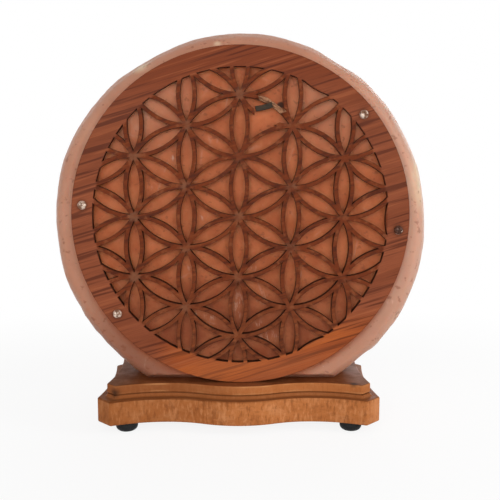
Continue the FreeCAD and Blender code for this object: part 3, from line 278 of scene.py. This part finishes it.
# ---- materials ---------------------------------------------------------------------------------
def salt_surface(centre):
    """Cloudy pink salt: pale on the sawn rim, and on the face behind the panel a deeper orange that is
    painted light bounced off the wood, painted lighter at the top and darker at the bottom.
    """
    s = Surface("salt")
    across, height = s.part(s.place, "X"), s.part(s.place, "Z")
    clouds = s.noise(s.mapped((16, 16, 16)), detail=4, rough=0.55, distortion=0.6)
    mottle = s.noise(s.mapped((70, 70, 70)), detail=3, rough=0.6)
    fine = s.noise(s.mapped((420, 420, 420)), detail=4, rough=0.65)
    rim = s.mix(s.span(clouds, 0.3, 0.7), srgb(184, 124, 97), srgb(206, 150, 124))
    rim = s.mix(s.span(mottle, 0.35, 0.75, 0.0, 0.6), rim, srgb(198, 141, 113))
    low_left = s.math("MULTIPLY", s.span(across, -10 * MM, -70 * MM), s.span(height, 100 * MM, 50 * MM))
    rim = s.mix(s.math("MULTIPLY", low_left, 0.7), rim, srgb(148, 94, 72))
    # Painted light: the rim is lighter towards the right, where the window's light falls on it.
    rim = s.mix(s.span(across, 50 * MM, 122 * MM, 0.0, 0.6), rim, srgb(216, 172, 150))
    # Pale patches on the rim; the last of them is a painted highlight where the window's reflection falls.
    patches = [s.spot((x * MM, -24 * MM, z * MM), (wide * MM, 16 * MM, high * MM), 0.9)
               for x, z, wide, high in RIM_PATCHES_AND_HIGHLIGHT]
    patches = s.math("MULTIPLY", s.most(patches), s.span(mottle, 0.3, 0.6, 0.35, 0.9))
    rim = s.mix(patches, rim, srgb(232, 202, 168))
    # Painted light and shade: the face in the openings is lighter towards the top and darker towards the
    # bottom, as light falls from above.
    upper = s.mix(s.span(mottle, 0.3, 0.7), srgb(192, 102, 58), srgb(214, 124, 78))
    lower = s.mix(s.span(mottle, 0.3, 0.7), srgb(156, 78, 44), srgb(182, 104, 66))
    rise = s.math("ADD", height, s.math("MULTIPLY", s.math("SUBTRACT", clouds, 0.5), 0.05))
    face = s.mix(s.span(rise, 0.062, 0.125), lower, upper)
    corner = s.span(s.math("ABSOLUTE", across), 15 * MM, 60 * MM)
    corner = s.math("MULTIPLY", s.span(height, 165 * MM, 225 * MM), corner)
    face = s.mix(s.math("MULTIPLY", corner, 0.8), face, srgb(216, 146, 112))
    # The face's deeper orange than the rim is painted light, bounced off the wood around the openings.
    behind = s.span(s.round_about(centre), 112 * MM, 105 * MM)
    in_front = s.span(s.part(s.place, "Y"), -28 * MM, -29.5 * MM)
    colour = s.mix(s.math("MULTIPLY", behind, in_front), rim, face)
    veins = s.span(s.cells(s.mapped((22, 30, 17), (20, 0, 35)), 1.0, "DISTANCE_TO_EDGE"), 0.02, 0.0)
    veins = s.math("MULTIPLY", veins, s.span(mottle, 0.5, 0.7))
    colour = s.mix(s.math("MULTIPLY", veins, 0.22), colour, srgb(226, 192, 174))
    specks = s.span(s.cells(s.mapped((260, 260, 190)), 1.0), 0.13, 0.05)
    specks = s.math("MULTIPLY", specks, s.span(clouds, 0.56, 0.64))
    flaws = s.most([s.spot((x * MM, SALT_FACE_Y * MM, z * MM), (wide * MM, 4 * MM, high * MM), 0.8)
                    for x, z, wide, high in SALT_FLAWS])
    streaks = s.noise(s.mapped((560, 300, 130), (0, 8, 0)), detail=3, rough=0.7)
    flaws = s.math("MULTIPLY", flaws, s.span(streaks, 0.48, 0.66))
    colour = s.mix(s.math("MULTIPLY", specks, 0.5), colour, srgb(216, 172, 150))
    colour = s.mix(s.math("MULTIPLY", flaws, 0.7), colour, srgb(232, 190, 168))
    marks = s.span(s.noise(s.mapped((240, 240, 300), (10, 0, 30)), detail=2), 0.6, 0.72)
    colour = s.mix(s.math("MULTIPLY", marks, 0.45), colour, srgb(136, 70, 44))
    pit = s.spot((26.0 * MM, SALT_FACE_Y * MM, 214.1 * MM), (3.4 * MM, 3 * MM, 2.6 * MM), 0.5)
    colour = s.mix(s.math("MULTIPLY", pit, 0.9), colour, srgb(48, 24, 14))
    s.set(Base_Color=colour, Roughness=s.span(fine, 0.3, 0.75, 0.36, 0.6), Specular_IOR_Level=0.15)
    s.set(Subsurface_Weight=0.5, Subsurface_Radius=(1.0, 0.45, 0.28), Subsurface_Scale=5 * MM)
    s.bump((mottle, 0.4 * MM), (fine, 0.14 * MM))
    return s.material


def fret_surface(screws):
    """Red-brown wood with fine dark grain rising to the right, burnt where the laser cut it."""
    s = Surface("fret_wood")
    across, height = s.part(s.place, "X"), s.part(s.place, "Z")
    radius = s.round_about((0, 0, PANEL_Z))
    way = s.from_crossing()
    tilt = (0, GRAIN_TILT, 0)
    bands = s.noise(s.mapped((6, 60, 60), tilt), detail=3, rough=0.55, distortion=0.3)
    lines = s.noise(s.mapped((12, 160, 420), tilt), detail=2, rough=0.6, distortion=0.2)
    fibres = s.noise(s.mapped((60, 900, 1500), tilt), detail=2, rough=0.6)
    dark = s.span(lines, 0.52, 0.62)
    border = s.mix(s.span(bands, 0.35, 0.65), srgb(152, 82, 53), srgb(132, 68, 42))
    # Painted shade: the border is darker towards the top.
    border = s.mix(s.span(height, 205 * MM, 240 * MM, 0.0, 0.8), border, srgb(128, 60, 32))
    # Painted glow: the border's lower left is lit a warmer, lighter orange.
    painted_glow = s.math("MULTIPLY", s.span(height, 84 * MM, 60 * MM), s.span(across, -62 * MM, -38 * MM))
    border = s.mix(painted_glow, border, s.mix(s.span(bands, 0.35, 0.65), srgb(190, 98, 44), srgb(158, 76, 38)))
    border = s.mix(s.math("MULTIPLY", dark, 0.7), border, srgb(78, 32, 18))
    border = s.mix(s.span(lines, 0.42, 0.3, 0.0, 0.45), border, srgb(178, 102, 66))
    # Painted light and shade: the strands are darker towards the top and lighter towards the bottom.
    strand = s.mix(s.span(height, 112 * MM, 60 * MM), srgb(116, 50, 20), srgb(124, 62, 32))
    strand = s.mix(s.math("MULTIPLY", dark, 0.65), strand, srgb(66, 24, 8))
    strand = s.mix(s.span(lines, 0.44, 0.3, 0.0, 0.5), strand, srgb(148, 78, 42))
    blotches = s.noise(s.mapped((240, 240, 240)), detail=3, rough=0.6)
    strand = s.mix(s.span(blotches, 0.54, 0.68, 0.0, 0.55), strand, srgb(152, 88, 54))
    strand = s.mix(s.span(blotches, 0.46, 0.33, 0.0, 0.6), strand, srgb(74, 30, 12))
    # Painted light: the border's bottom is lit paler.
    pale = s.span(height, 62 * MM, 42 * MM, 0.0, 0.4)
    pale = s.math("MULTIPLY", pale, s.span(across, -50 * MM, -20 * MM))
    border = s.mix(pale, border, srgb(184, 104, 62))
    window = s.span(radius, WINDOW_RADIUS, WINDOW_RADIUS - 1.5 * MM)
    wood = s.mix(window, border, strand)
    wood = s.mix(s.span(fibres, 0.35, 0.7, 0.0, 0.22), wood, srgb(84, 42, 28))
    near_crossing = s.span(s.vector("LENGTH", way), 5.5 * MM, 2.0 * MM)
    dusty = s.noise(s.mapped((22, 22, 22)), detail=1)
    dusty = s.math("MULTIPLY", near_crossing, s.span(dusty, 0.38, 0.56))
    dusty = s.math("MULTIPLY", s.math("MULTIPLY", dusty, s.span(blotches, 0.35, 0.6)), window)
    wood = s.mix(s.math("MULTIPLY", dusty, 0.7), wood, srgb(128, 82, 58))
    stains = s.most([s.spot(place, (5.6 * MM, 3 * MM, 5.6 * MM), 0.8) for place in screws])
    wood = s.mix(s.math("MULTIPLY", stains, 0.65), wood, srgb(64, 38, 26))
    in_from_edge = s.math("SUBTRACT", STRAND_WIDTH / 2, s.off_strand(way))
    in_from_edge = s.math("MAXIMUM", in_from_edge, s.math("SUBTRACT", radius, WINDOW_RADIUS))
    in_from_edge = s.math("MINIMUM", in_from_edge, s.math("SUBTRACT", PANEL_RADIUS, radius))
    scorch = s.span(in_from_edge, s.span(bands, 0.3, 0.7, 0.25 * MM, 0.6 * MM), 0.0, 0.0, 0.6)
    wall = s.span(s.part(s.object_normal(), "Y"), -0.9, -0.6)
    colour = s.mix(scorch, wood, srgb(66, 30, 16))
    burnt = s.mix(s.span(height, 110 * MM, 180 * MM), srgb(58, 27, 14), srgb(84, 42, 24))
    colour = s.mix(wall, colour, burnt)
    s.set(Base_Color=colour, Roughness=s.span(lines, 0.3, 0.7, 0.62, 0.46), Specular_IOR_Level=0.1)
    s.bump((lines, 0.1 * MM), (fibres, 0.05 * MM))
    return s.material


def split_surface():
    """Pale torn core of a split strand."""
    s = Surface("split_core")
    fibres = s.noise(s.mapped((160, 600, 1400), (0, 52, 0)), detail=3, rough=0.6)
    patches = s.noise(s.mapped((240, 240, 240)), detail=2)
    colour = s.mix(s.span(fibres, 0.3, 0.7), srgb(198, 146, 110), srgb(162, 110, 80))
    colour = s.mix(s.span(patches, 0.56, 0.66, 0.0, 0.6), colour, srgb(96, 60, 40))
    s.set(Base_Color=colour, Roughness=0.85, Specular_IOR_Level=0.2)
    s.bump((fibres, 0.3 * MM))
    return s.material


def scorched_surface():
    s = Surface("scorched_wood")
    fibres = s.noise(s.mapped((120, 700, 900), (0, -14, 0)), detail=3, rough=0.6)
    colour = s.mix(s.span(fibres, 0.3, 0.75), srgb(36, 26, 16), srgb(60, 45, 29))
    s.set(Base_Color=colour, Roughness=0.7, Specular_IOR_Level=0.3)
    s.bump((fibres, 0.2 * MM))
    return s.material


def base_surface():
    """Light-brown wood with a worn finish: painted shade in its cove and groove, a dark line along the
    band's top edge, paler arrises with wear and a painted highlight, and a dull top painted dark with shade
    and dirt.
    """
    s = Surface("base_wood")
    across, height = s.part(s.place, "X"), s.part(s.place, "Z")
    figure = s.noise(s.mapped((9, 30, 30)), detail=3, rough=0.6, distortion=0.5)
    mottle = s.noise(s.mapped((70, 90, 110)), detail=4, rough=0.65, distortion=0.3)
    fibres = s.noise(s.mapped((160, 500, 520)), detail=3, rough=0.6)
    along = s.noise(s.mapped((45, 4, 4)), detail=2, rough=0.6)
    wood = s.mix(s.span(figure, 0.3, 0.7), srgb(176, 104, 55), srgb(198, 122, 68))
    wood = s.mix(s.span(mottle, 0.45, 0.72, 0.0, 0.55), wood, srgb(216, 148, 98))
    wood = s.mix(s.span(mottle, 0.45, 0.28, 0.0, 0.5), wood, srgb(146, 84, 46))
    wood = s.mix(s.span(fibres, 0.5, 0.72, 0.0, 0.35), wood, srgb(140, 80, 44))
    streaks = s.noise(s.mapped((520, 360, 150)), detail=3, rough=0.6)
    wood = s.mix(s.span(streaks, 0.52, 0.68, 0.0, 0.5), wood, srgb(222, 152, 100))
    wood = s.mix(s.span(streaks, 0.47, 0.33, 0.0, 0.5), wood, srgb(128, 70, 36))
    # Painted light and shade: the base is shaded darker towards the left and lit lighter at its right
    # corner, and the table's front carries a painted sheen that brightens towards the right.
    wood = s.mix(s.span(across, 0.0, -90 * MM, 0.0, 0.45), wood, srgb(144, 84, 44))
    wood = s.mix(s.span(across, 84 * MM, 90 * MM, 0.0, 0.5), wood, srgb(222, 148, 98))
    table = s.span(height, 24.6 * MM, 25.4 * MM)
    front = s.mix(s.span(s.math("ADD", across, s.math("MULTIPLY", figure, 0.06)), -0.02, 0.05),
                  srgb(146, 84, 46), srgb(184, 110, 60))
    wood = s.mix(s.math("MULTIPLY", table, 0.7), wood, front)
    # Painted shade in the cove under the table's overhang.
    painted_cove_shade = s.within(height, 22.4 * MM, 24.9 * MM, 0.4 * MM)
    wood = s.mix(s.math("MULTIPLY", painted_cove_shade, 0.75), wood, srgb(146, 84, 44))
    # A dark line along the band's top edge, darker towards the left.
    edge = s.within(height, 21.7 * MM, 22.3 * MM, 0.35 * MM)
    edge = s.math("MULTIPLY", edge, s.span(across, 40 * MM, -50 * MM, 0.12, 0.85))
    wood = s.mix(s.math("MULTIPLY", edge, s.span(along, 0.3, 0.6, 0.5, 1.0)), wood, srgb(96, 46, 14))
    # Painted shade in the small groove under the table's front face.
    painted_groove_shade = s.within(height, 24.7 * MM, 25.2 * MM, 0.25 * MM)
    wood = s.mix(s.math("MULTIPLY", painted_groove_shade, 0.45), wood, srgb(104, 60, 32))
    # Paler lines along the table's edges: wear and a painted highlight.
    arris = s.most([s.within(height, low * MM, high * MM, 0.6 * MM) for low, high in WORN_AND_LIT_EDGES])
    arris = s.math("MULTIPLY", arris, s.span(mottle, 0.4, 0.6, 0.2, 1.0))
    wood = s.mix(s.math("MULTIPLY", arris, s.span(along, 0.42, 0.64, 0.0, 0.6)), wood, srgb(206, 144, 92))
    top = s.mix(s.span(mottle, 0.3, 0.7), srgb(116, 60, 30), srgb(140, 80, 46))
    dust = s.span(s.math("ABSOLUTE", across), 50 * MM, 88 * MM, 0.0, 0.6)
    top = s.mix(dust, top, s.mix(s.span(mottle, 0.4, 0.65), srgb(118, 76, 46), srgb(140, 92, 60)))
    # Painted shade and dirt: upward faces, and most of all the top, are darker where less light falls on
    # them.
    level = s.span(s.part(s.object_normal(), "Z"), 0.72, 0.97)
    wood = s.mix(s.math("MULTIPLY", level, 0.8), wood, srgb(132, 78, 42))
    level = s.math("MULTIPLY", level, s.span(height, 29.5 * MM, 30.8 * MM))
    wood = s.mix(s.math("MULTIPLY", level, 0.95), wood, top)
    stain = s.most([s.spot((x * MM, y * MM, z * MM), (wide * MM, wide * MM, high * MM), 0.8)
                    for x, y, z, wide, high in BASE_STAINS])
    wood = s.mix(s.math("MULTIPLY", stain, 0.85), wood, srgb(52, 34, 26))
    lines = s.noise(s.mapped((1600, 500, 140)), detail=2)
    cracks = [s.spot((x * MM, y * MM, z * MM), (CRACK_WIDTH * MM, 3.0 * MM, high * MM), 0.6)
              for x, y, z, high in BASE_CRACKS]
    crack = s.math("MULTIPLY", s.most(cracks), s.span(lines, 0.38, 0.5))
    wood = s.mix(s.math("MULTIPLY", crack, 0.85), wood, srgb(70, 40, 24))
    s.set(Base_Color=wood, Roughness=s.span(mottle, 0.3, 0.7, 0.62, 0.46), Specular_IOR_Level=0.07)
    s.bump((mottle, 0.2 * MM), (fibres, 0.05 * MM), (s.math("MULTIPLY", crack, -1.0), 0.4 * MM))
    return s.material


def plain_surface(name, dark, light, grain, rough, depth=0.05, **more):
    """A material whose colour and gloss vary a little over a fine grain."""
    s = Surface(name)
    fine = s.noise(s.mapped((grain, grain, grain)), detail=3, rough=0.6)
    broad = s.noise(s.mapped((grain / 9, grain / 9, grain / 9)), detail=2)
    both = s.math("ADD", s.math("MULTIPLY", fine, 0.4), s.math("MULTIPLY", broad, 0.6))
    colour = s.mix(s.span(both, 0.35, 0.65), dark, light)
    s.set(Base_Color=colour, Roughness=s.span(broad, 0.35, 0.65, *rough), **more)
    s.bump((fine, depth * MM))
    return s.material


def grimy_screws():
    """Zinc screw heads dulled by oil and dust, the right-hand one browned nearly all over."""
    s = Surface("panel_screws")
    grime = s.noise(s.mapped((380, 380, 380), shift=(3, 0, 5)), detail=2)
    colour = s.mix(s.span(grime, 0.42, 0.6), srgb(132, 92, 68), srgb(230, 208, 190))
    browned = s.math("MULTIPLY", s.span(s.part(s.place, "X"), 92 * MM, 98 * MM), s.span(grime, 0.66, 0.58))
    colour = s.mix(browned, colour, srgb(80, 44, 28))
    s.set(Base_Color=colour, Metallic=0.35, Roughness=s.span(grime, 0.4, 0.6, 0.6, 0.35))
    s.bump((grime, 0.05 * MM))
    return s.material


def clear_glass():
    s = Surface("bulb_glass")
    waves = s.noise(s.mapped((60, 60, 25)), detail=2)
    s.set(Base_Color=(1, 1, 1, 1), Roughness=0.02, IOR=1.5, Transmission_Weight=1.0)
    s.bump((waves, 0.05 * MM))
    return s.material


# ---- meshes ------------------------------------------------------------------------------------
def new_object(name, mesh, materials):
    piece = bpy.data.objects.new(name, mesh)
    bpy.context.scene.collection.objects.link(piece)
    for material in materials:
        mesh.materials.append(material)
    return piece


def from_bmesh(name, bm, materials, smooth=True):
    mesh = bpy.data.meshes.new(name)
    for face in bm.faces:
        face.smooth = smooth
    bm.to_mesh(mesh)
    bm.free()
    return new_object(name, mesh, materials)


def wave_at(degrees):
    """How far out of round the rim is at an angle, in metres."""
    count = len(SALT_WAVES)
    first = SALT_WAVES[0][0]
    degrees = (degrees - first) % 360 + first
    for index in range(count):
        low, low_value = SALT_WAVES[index]
        high, high_value = SALT_WAVES[(index + 1) % count]
        high += 360 if high < low else 0
        if low <= degrees <= high:
            share = (degrees - low) / (high - low)
            share = share * share * (3 - 2 * share)
            return (low_value + (high_value - low_value) * share) * MM
    return 0.0


def slice_off(bm, place, normal):
    """Removes what lies behind a plane and closes the cut."""
    cut = bmesh.ops.bisect_plane(bm, geom=bm.verts[:] + bm.edges[:] + bm.faces[:], plane_co=place,
                                 plane_no=Vector(normal).normalized(), clear_inner=True)
    edges = [item for item in cut["geom_cut"] if isinstance(item, bmesh.types.BMEdge)]
    bmesh.ops.contextual_create(bm, geom=edges)


def salt_plate(material):
    """The salt, with an uneven hand-worked rim, a sawn flat and its well for the bulb."""
    low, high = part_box("salt_crystal")
    radius, flat_z = high.x, low.z
    centre_z = high.z - radius
    front, back = low.y, high.y
    profile = [(radius - inset * MM, front + deep * MM) for inset, deep in SALT_PROFILE]
    profile += [(r, -y) for r, y in reversed(profile)]
    bm = bmesh.new()
    rings = []
    for r, y in profile:
        ring = []
        rim_share = min(max((r - (radius - 12 * MM)) / (8 * MM), 0), 1)
        for step in range(SALT_STEPS):
            angle = 2 * math.pi * step / SALT_STEPS
            degrees = math.degrees(angle)
            spot = Vector((math.cos(angle) * r, y, math.sin(angle) * r))
            out = RIM_OUT + wave_at(degrees)
            out += sum(depth * noise.noise(spot * grain) for depth, grain in RIM_ROUGHNESS)
            if CHIPPED[0] < degrees < CHIPPED[1]:
                ends = min(degrees - CHIPPED[0], CHIPPED[1] - degrees) / 8
                scallop = abs(noise.noise(Vector((degrees * 0.16, y * 25, 3.0))))
                out -= CHIP_DEPTH * scallop * min(ends, 1)
            deeper = 0.35 * MM * noise.noise(spot * 90 + Vector((7, 0, 0))) * rim_share
            reach = r + out * rim_share
            x, z = math.cos(angle) * reach, centre_z + math.sin(angle) * reach
            ring.append(bm.verts.new((x, y - math.copysign(deeper, y), z)))
        rings.append(ring)
    for ring, after in zip(rings, rings[1:]):
        for step in range(SALT_STEPS):
            ahead = (step + 1) % SALT_STEPS
            bm.faces.new((ring[step], ring[ahead], after[ahead], after[step]))
    bm.faces.new(list(reversed(rings[0])))
    bm.faces.new(rings[-1])
    bmesh.ops.recalc_face_normals(bm, faces=bm.faces)
    slice_off(bm, (0, 0, flat_z), (0, 0, 1))
    slice_off(bm, (0, front, flat_z + TOE_HEIGHT), (0, TOE_HEIGHT, TOE_DEPTH))
    slice_off(bm, (0, back, flat_z + TOE_HEIGHT), (0, -TOE_HEIGHT, TOE_DEPTH))
    piece = from_bmesh("salt_rock", bm, [material])
    well = bmesh.new()
    depth = WELL_TOP - flat_z
    bmesh.ops.create_cone(well, cap_ends=True, segments=96, radius1=WELL_RADIUS, radius2=WELL_RADIUS,
                          depth=2 * depth, matrix=Matrix.Translation((0, 0, flat_z)))
    cutter = from_bmesh("well_cutter", well, [], smooth=False)
    hollow = piece.modifiers.new("well", "BOOLEAN")
    hollow.object, hollow.solver, hollow.operation = cutter, "EXACT", "DIFFERENCE"
    depsgraph = bpy.context.evaluated_depsgraph_get()
    mesh = bpy.data.meshes.new_from_object(piece.evaluated_get(depsgraph))
    piece.modifiers.clear()
    piece.data = mesh
    bpy.data.objects.remove(cutter)
    for face in mesh.polygons:
        face.use_smooth = len(face.vertices) < 5
    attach(piece, "stand")
    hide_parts("salt_crystal")
    return piece


def pierced_disc(wood, core):
    """The panel, with the torn core of its split strand."""
    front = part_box("fretwork_panel")[0].y
    bm = bmesh.new()
    bm.from_mesh(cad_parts["fretwork_panel"].data)
    bmesh.ops.remove_doubles(bm, verts=bm.verts, dist=0.002 * MM)
    bm.normal_update()
    behind = front + 0.01 * MM
    ledge = [face for face in bm.faces if face.normal.y < -0.99 and face.calc_center_median().y > behind]
    for face in ledge:
        face.material_index = 1
    ledge_edges = list({edge for face in ledge for edge in face.edges})
    rim = {vert for face in ledge for vert in face.verts}
    bmesh.ops.subdivide_edges(bm, edges=ledge_edges, cuts=6, use_grid_fill=True)
    torn = [face for face in bm.faces if face.material_index == 1]
    torn_faces = set(torn)
    for vert in {vert for face in torn for vert in face.verts} - rim:
        if all(face in torn_faces for face in vert.link_faces):
            vert.co.y += 0.45 * MM * noise.noise(vert.co * 900)
    piece = from_bmesh("pierced_disc", bm, [wood, core])
    piece.data.set_sharp_from_angle(angle=math.radians(35))
    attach(piece, "stand")
    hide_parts("fretwork_panel")
    return piece


def snapped_splinter(material):
    """The loose end of the snapped strand, with torn ends."""
    bm = bmesh.new()
    bm.from_mesh(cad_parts["broken_strand"].data)
    bmesh.ops.remove_doubles(bm, verts=bm.verts, dist=0.002 * MM)
    low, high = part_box("broken_strand")
    middle = (low + high) / 2
    bmesh.ops.subdivide_edges(bm, edges=bm.edges[:], cuts=7, use_grid_fill=True)
    bmesh.ops.triangulate(bm, faces=[face for face in bm.faces if len(face.verts) > 4])
    along = Vector((math.cos(SPLINTER_TILT), 0, math.sin(SPLINTER_TILT)))
    for vert in bm.verts:
        run = (vert.co - middle).dot(along)
        end = max(abs(run) - 3.6 * MM, 0) / (2 * MM)
        across = Vector((vert.co.x * 500, vert.co.y * 1500, vert.co.z * 1500))
        vert.co -= along * math.copysign(end * 1.3 * MM * abs(noise.noise(across)), run)
        vert.co += Vector((0.12, 0, 0.16)) * MM * noise.noise(vert.co * 700)
    piece = from_bmesh("splinter", bm, [material])
    piece.data.set_sharp_from_angle(angle=math.radians(40))
    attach(piece, "stand")
    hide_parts("broken_strand")
    return piece


def torn_fibres(material):
    """Slivers standing up from the split strand, along its curve."""
    bm = bmesh.new()
    for start, end, radius, drift, high, wide in SLIVERS:
        steps = 8
        rows = []
        for step in range(steps + 1):
            share = step / steps
            angle = math.radians(start + (end - start) * share)
            reach = radius + drift * share
            taper = math.sin(math.pi * (0.12 + 0.76 * share)) * wide / 2
            y = LEDGE_Y - high * math.sin(math.pi * min(share + 0.15, 1))
            row = []
            for side, lift in ((-taper, 0.0), (0.0, 0.35), (taper, 0.0)):
                x = SPLIT_CENTRE[0] + (reach + side) * math.cos(angle)
                z = SPLIT_CENTRE[1] + (reach + side) * math.sin(angle)
                row.append(bm.verts.new((x * MM, (y - lift) * MM, z * MM)))
            row.append(bm.verts.new((row[1].co.x, row[1].co.y + 0.9 * MM, row[1].co.z)))
            rows.append(row)
        for row, after in zip(rows, rows[1:]):
            for k in range(4):
                bm.faces.new((row[k], row[(k + 1) % 4], after[(k + 1) % 4], after[k]))
        bm.faces.new(rows[0])
        bm.faces.new(list(reversed(rows[-1])))
    bmesh.ops.recalc_face_normals(bm, faces=bm.faces)
    piece = from_bmesh("torn_fibres", bm, [material])
    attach(piece, "stand")
    return piece


# ---- stage -------------------------------------------------------------------------------------
def seen_rays(tree):
    """One for the rays that show the background: straight to the camera, mirrored or through glass."""
    path = tree.nodes.new("ShaderNodeLightPath")
    total = path.outputs["Is Camera Ray"]
    for name in ("Is Glossy Ray", "Is Transmission Ray"):
        most = tree.nodes.new("ShaderNodeMath")
        most.operation = "MAXIMUM"
        tree.links.new(total, most.inputs[0])
        tree.links.new(path.outputs[name], most.inputs[1])
        total = most.outputs[0]
    return total


def mixed(tree, share, first, second):
    node = tree.nodes.new("ShaderNodeMixShader")
    for socket, value in zip(node.inputs, (share, first, second)):
        tree.links.new(value, socket)
    return node.outputs[0]


def white_world():
    world = bpy.data.worlds.new("studio")
    bpy.context.scene.world = world
    world.use_nodes = True
    tree = world.node_tree
    dim = tree.nodes["Background"]
    dim.inputs["Color"].default_value = (1, 1, 1, 1)
    dim.inputs["Strength"].default_value = AMBIENT
    white = tree.nodes.new("ShaderNodeBackground")
    white.inputs["Color"].default_value = (1, 1, 1, 1)
    both = mixed(tree, seen_rays(tree), dim.outputs[0], white.outputs[0])
    tree.links.new(both, tree.nodes["World Output"].inputs["Surface"])


def pale_floor():
    """White floor that keeps the lamp's shade near it and fades to white. It is clear from below."""
    bm = bmesh.new()
    bmesh.ops.create_circle(bm, cap_ends=True, segments=96, radius=FLOOR_RADIUS)
    s = Surface("floor")
    tree = s.tree
    diffuse = s.add("ShaderNodeBsdfDiffuse")
    diffuse.inputs["Color"].default_value = (0.82, 0.82, 0.82, 1)
    shade = s.add("ShaderNodeBsdfDiffuse")
    shade.inputs["Color"].default_value = (0.15, 0.15, 0.15, 1)
    glow = s.add("ShaderNodeEmission")
    glow.inputs["Strength"].default_value = 0.87
    near = s.add("ShaderNodeAddShader")
    tree.links.new(shade.outputs[0], near.inputs[0])
    tree.links.new(glow.outputs[0], near.inputs[1])
    white = s.add("ShaderNodeEmission")
    away = s.span(s.vector("LENGTH", s.vector("MULTIPLY", s.place, (0.7, 1, 0))), *FLOOR_FADE)
    shown = mixed(tree, away, near.outputs[0], white.outputs[0])
    both = mixed(tree, seen_rays(tree), diffuse.outputs[0], shown)
    from_below = s.add("ShaderNodeNewGeometry").outputs["Backfacing"]
    both = mixed(tree, from_below, both, s.add("ShaderNodeBsdfTransparent").outputs[0])
    tree.links.new(both, tree.nodes["Material Output"].inputs["Surface"])
    from_bmesh("floor", bm, [s.material], smooth=False)


def lamps():
    for name, place, (across, up), watts, colour in LAMPS:
        light = bpy.data.lights.new(name, "AREA")
        light.shape = "RECTANGLE"
        light.size, light.size_y = across, up
        light.energy, light.color = watts, colour
        lamp = bpy.data.objects.new(name, light)
        lamp.location = place
        lamp.rotation_euler = (LOOKED_AT - Vector(place)).to_track_quat("-Z", "Y").to_euler()
        bpy.context.scene.collection.objects.link(lamp)


def camera():
    yaw, down, roll = (math.radians(angle) for angle in (CAMERA_YAW, CAMERA_DOWN, CAMERA_ROLL))
    aim = Matrix.Rotation(yaw, 4, "Z") @ Matrix.Rotation(math.pi / 2 - down, 4, "X")
    turn = aim @ Matrix.Rotation(roll, 4, "Z")
    view = bpy.data.objects.new("camera", bpy.data.cameras.new("camera"))
    view.matrix_world = Matrix.Translation(CAMERA_AT) @ turn
    view.data.lens, view.data.sensor_width = CAMERA_LENS, 36.0
    view.data.clip_start = 0.01
    bpy.context.scene.collection.objects.link(view)
    bpy.context.scene.camera = view


# ---- everything --------------------------------------------------------------------------------
def give(material, *nodes):
    for name in nodes:
        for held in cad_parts[name].material_slots:
            held.material = material


def steel(name, light, rough, grain=500):
    dark = tuple(part * 0.72 for part in light[:3]) + (1.0,)
    return plain_surface(name, dark, light, grain, rough, 0.02, Metallic=1.0)


def dress_plain_parts():
    """Materials of the feet, the screws and the pieces of the holder and the bulb."""
    rubber = plain_surface("rubber", srgb(16, 16, 17), srgb(32, 32, 33), 900, (0.5, 0.7), 0.06,
                           Specular_IOR_Level=0.2)
    give(rubber, "foot_front_left", "foot_front_right", "foot_back_left", "foot_back_right")
    zinc = steel("zinc_screws", srgb(224, 214, 196), (0.22, 0.4))
    give(zinc, "base_screws", "foot_screws", "foot_washers")
    give(grimy_screws(), "panel_screws")
    nylon = plain_surface("nylon", srgb(150, 150, 146), srgb(168, 168, 162), 400, (0.45, 0.6))
    give(nylon, "panel_plugs", "base_plugs")
    give(steel("zinc_plate", srgb(205, 208, 210), (0.28, 0.5), 160), "holder_plate")
    spring = steel("spring_steel", srgb(196, 196, 198), (0.25, 0.38), 700)
    give(spring, "spring_clip_1", "spring_clip_2", "spring_clip_3")
    give(steel("rivets", srgb(218, 218, 220), (0.35, 0.5), 900), "clip_rivets")
    bakelite = plain_surface("bakelite", srgb(20, 19, 19), srgb(32, 30, 29), 300, (0.22, 0.36), 0.02,
                             Coat_Weight=0.3)
    give(bakelite, "socket_body", "socket_cover")
    bush = plain_surface("bush_plastic", srgb(26, 26, 27), srgb(40, 40, 41), 700, (0.5, 0.65), 0.05)
    give(bush, "cord_gland")
    ceramic = plain_surface("ceramic", srgb(226, 220, 206), srgb(240, 236, 226), 500, (0.45, 0.65), 0.03)
    give(ceramic, "socket_core")
    brass = steel("brass", srgb(214, 178, 104), (0.25, 0.42), 400)
    give(brass, "socket_screw_shell", "centre_contact", "side_contact", "terminal_screws")
    give(clear_glass(), "bulb_glass", "bulb_stem")
    give(steel("bulb_cap_metal", srgb(222, 218, 208), (0.2, 0.34), 500), "bulb_cap")
    black_glass = plain_surface("black_glass", srgb(12, 12, 16), srgb(22, 22, 27), 300, (0.1, 0.2), 0.01)
    give(black_glass, "bulb_insulator")
    give(steel("solder", srgb(176, 178, 180), (0.35, 0.55), 700), "bulb_tip_contact")
    give(steel("wires", srgb(150, 148, 146), (0.35, 0.5), 2000), "bulb_lead_wires", "bulb_filament")


def main():
    camera()
    white_world()
    pale_floor()
    lamps()
    bpy.context.scene.view_settings.view_transform = "Standard"
    low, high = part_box("salt_crystal")
    centre = Vector((0, 0, high.z - high.x))
    salt_plate(salt_surface(centre))
    wood, core = fret_surface(SCREW_PLACES), split_surface()
    pierced_disc(wood, core)
    snapped_splinter(scorched_surface())
    torn_fibres(core)
    give(base_surface(), "base_board")
    dress_plain_parts()


main()
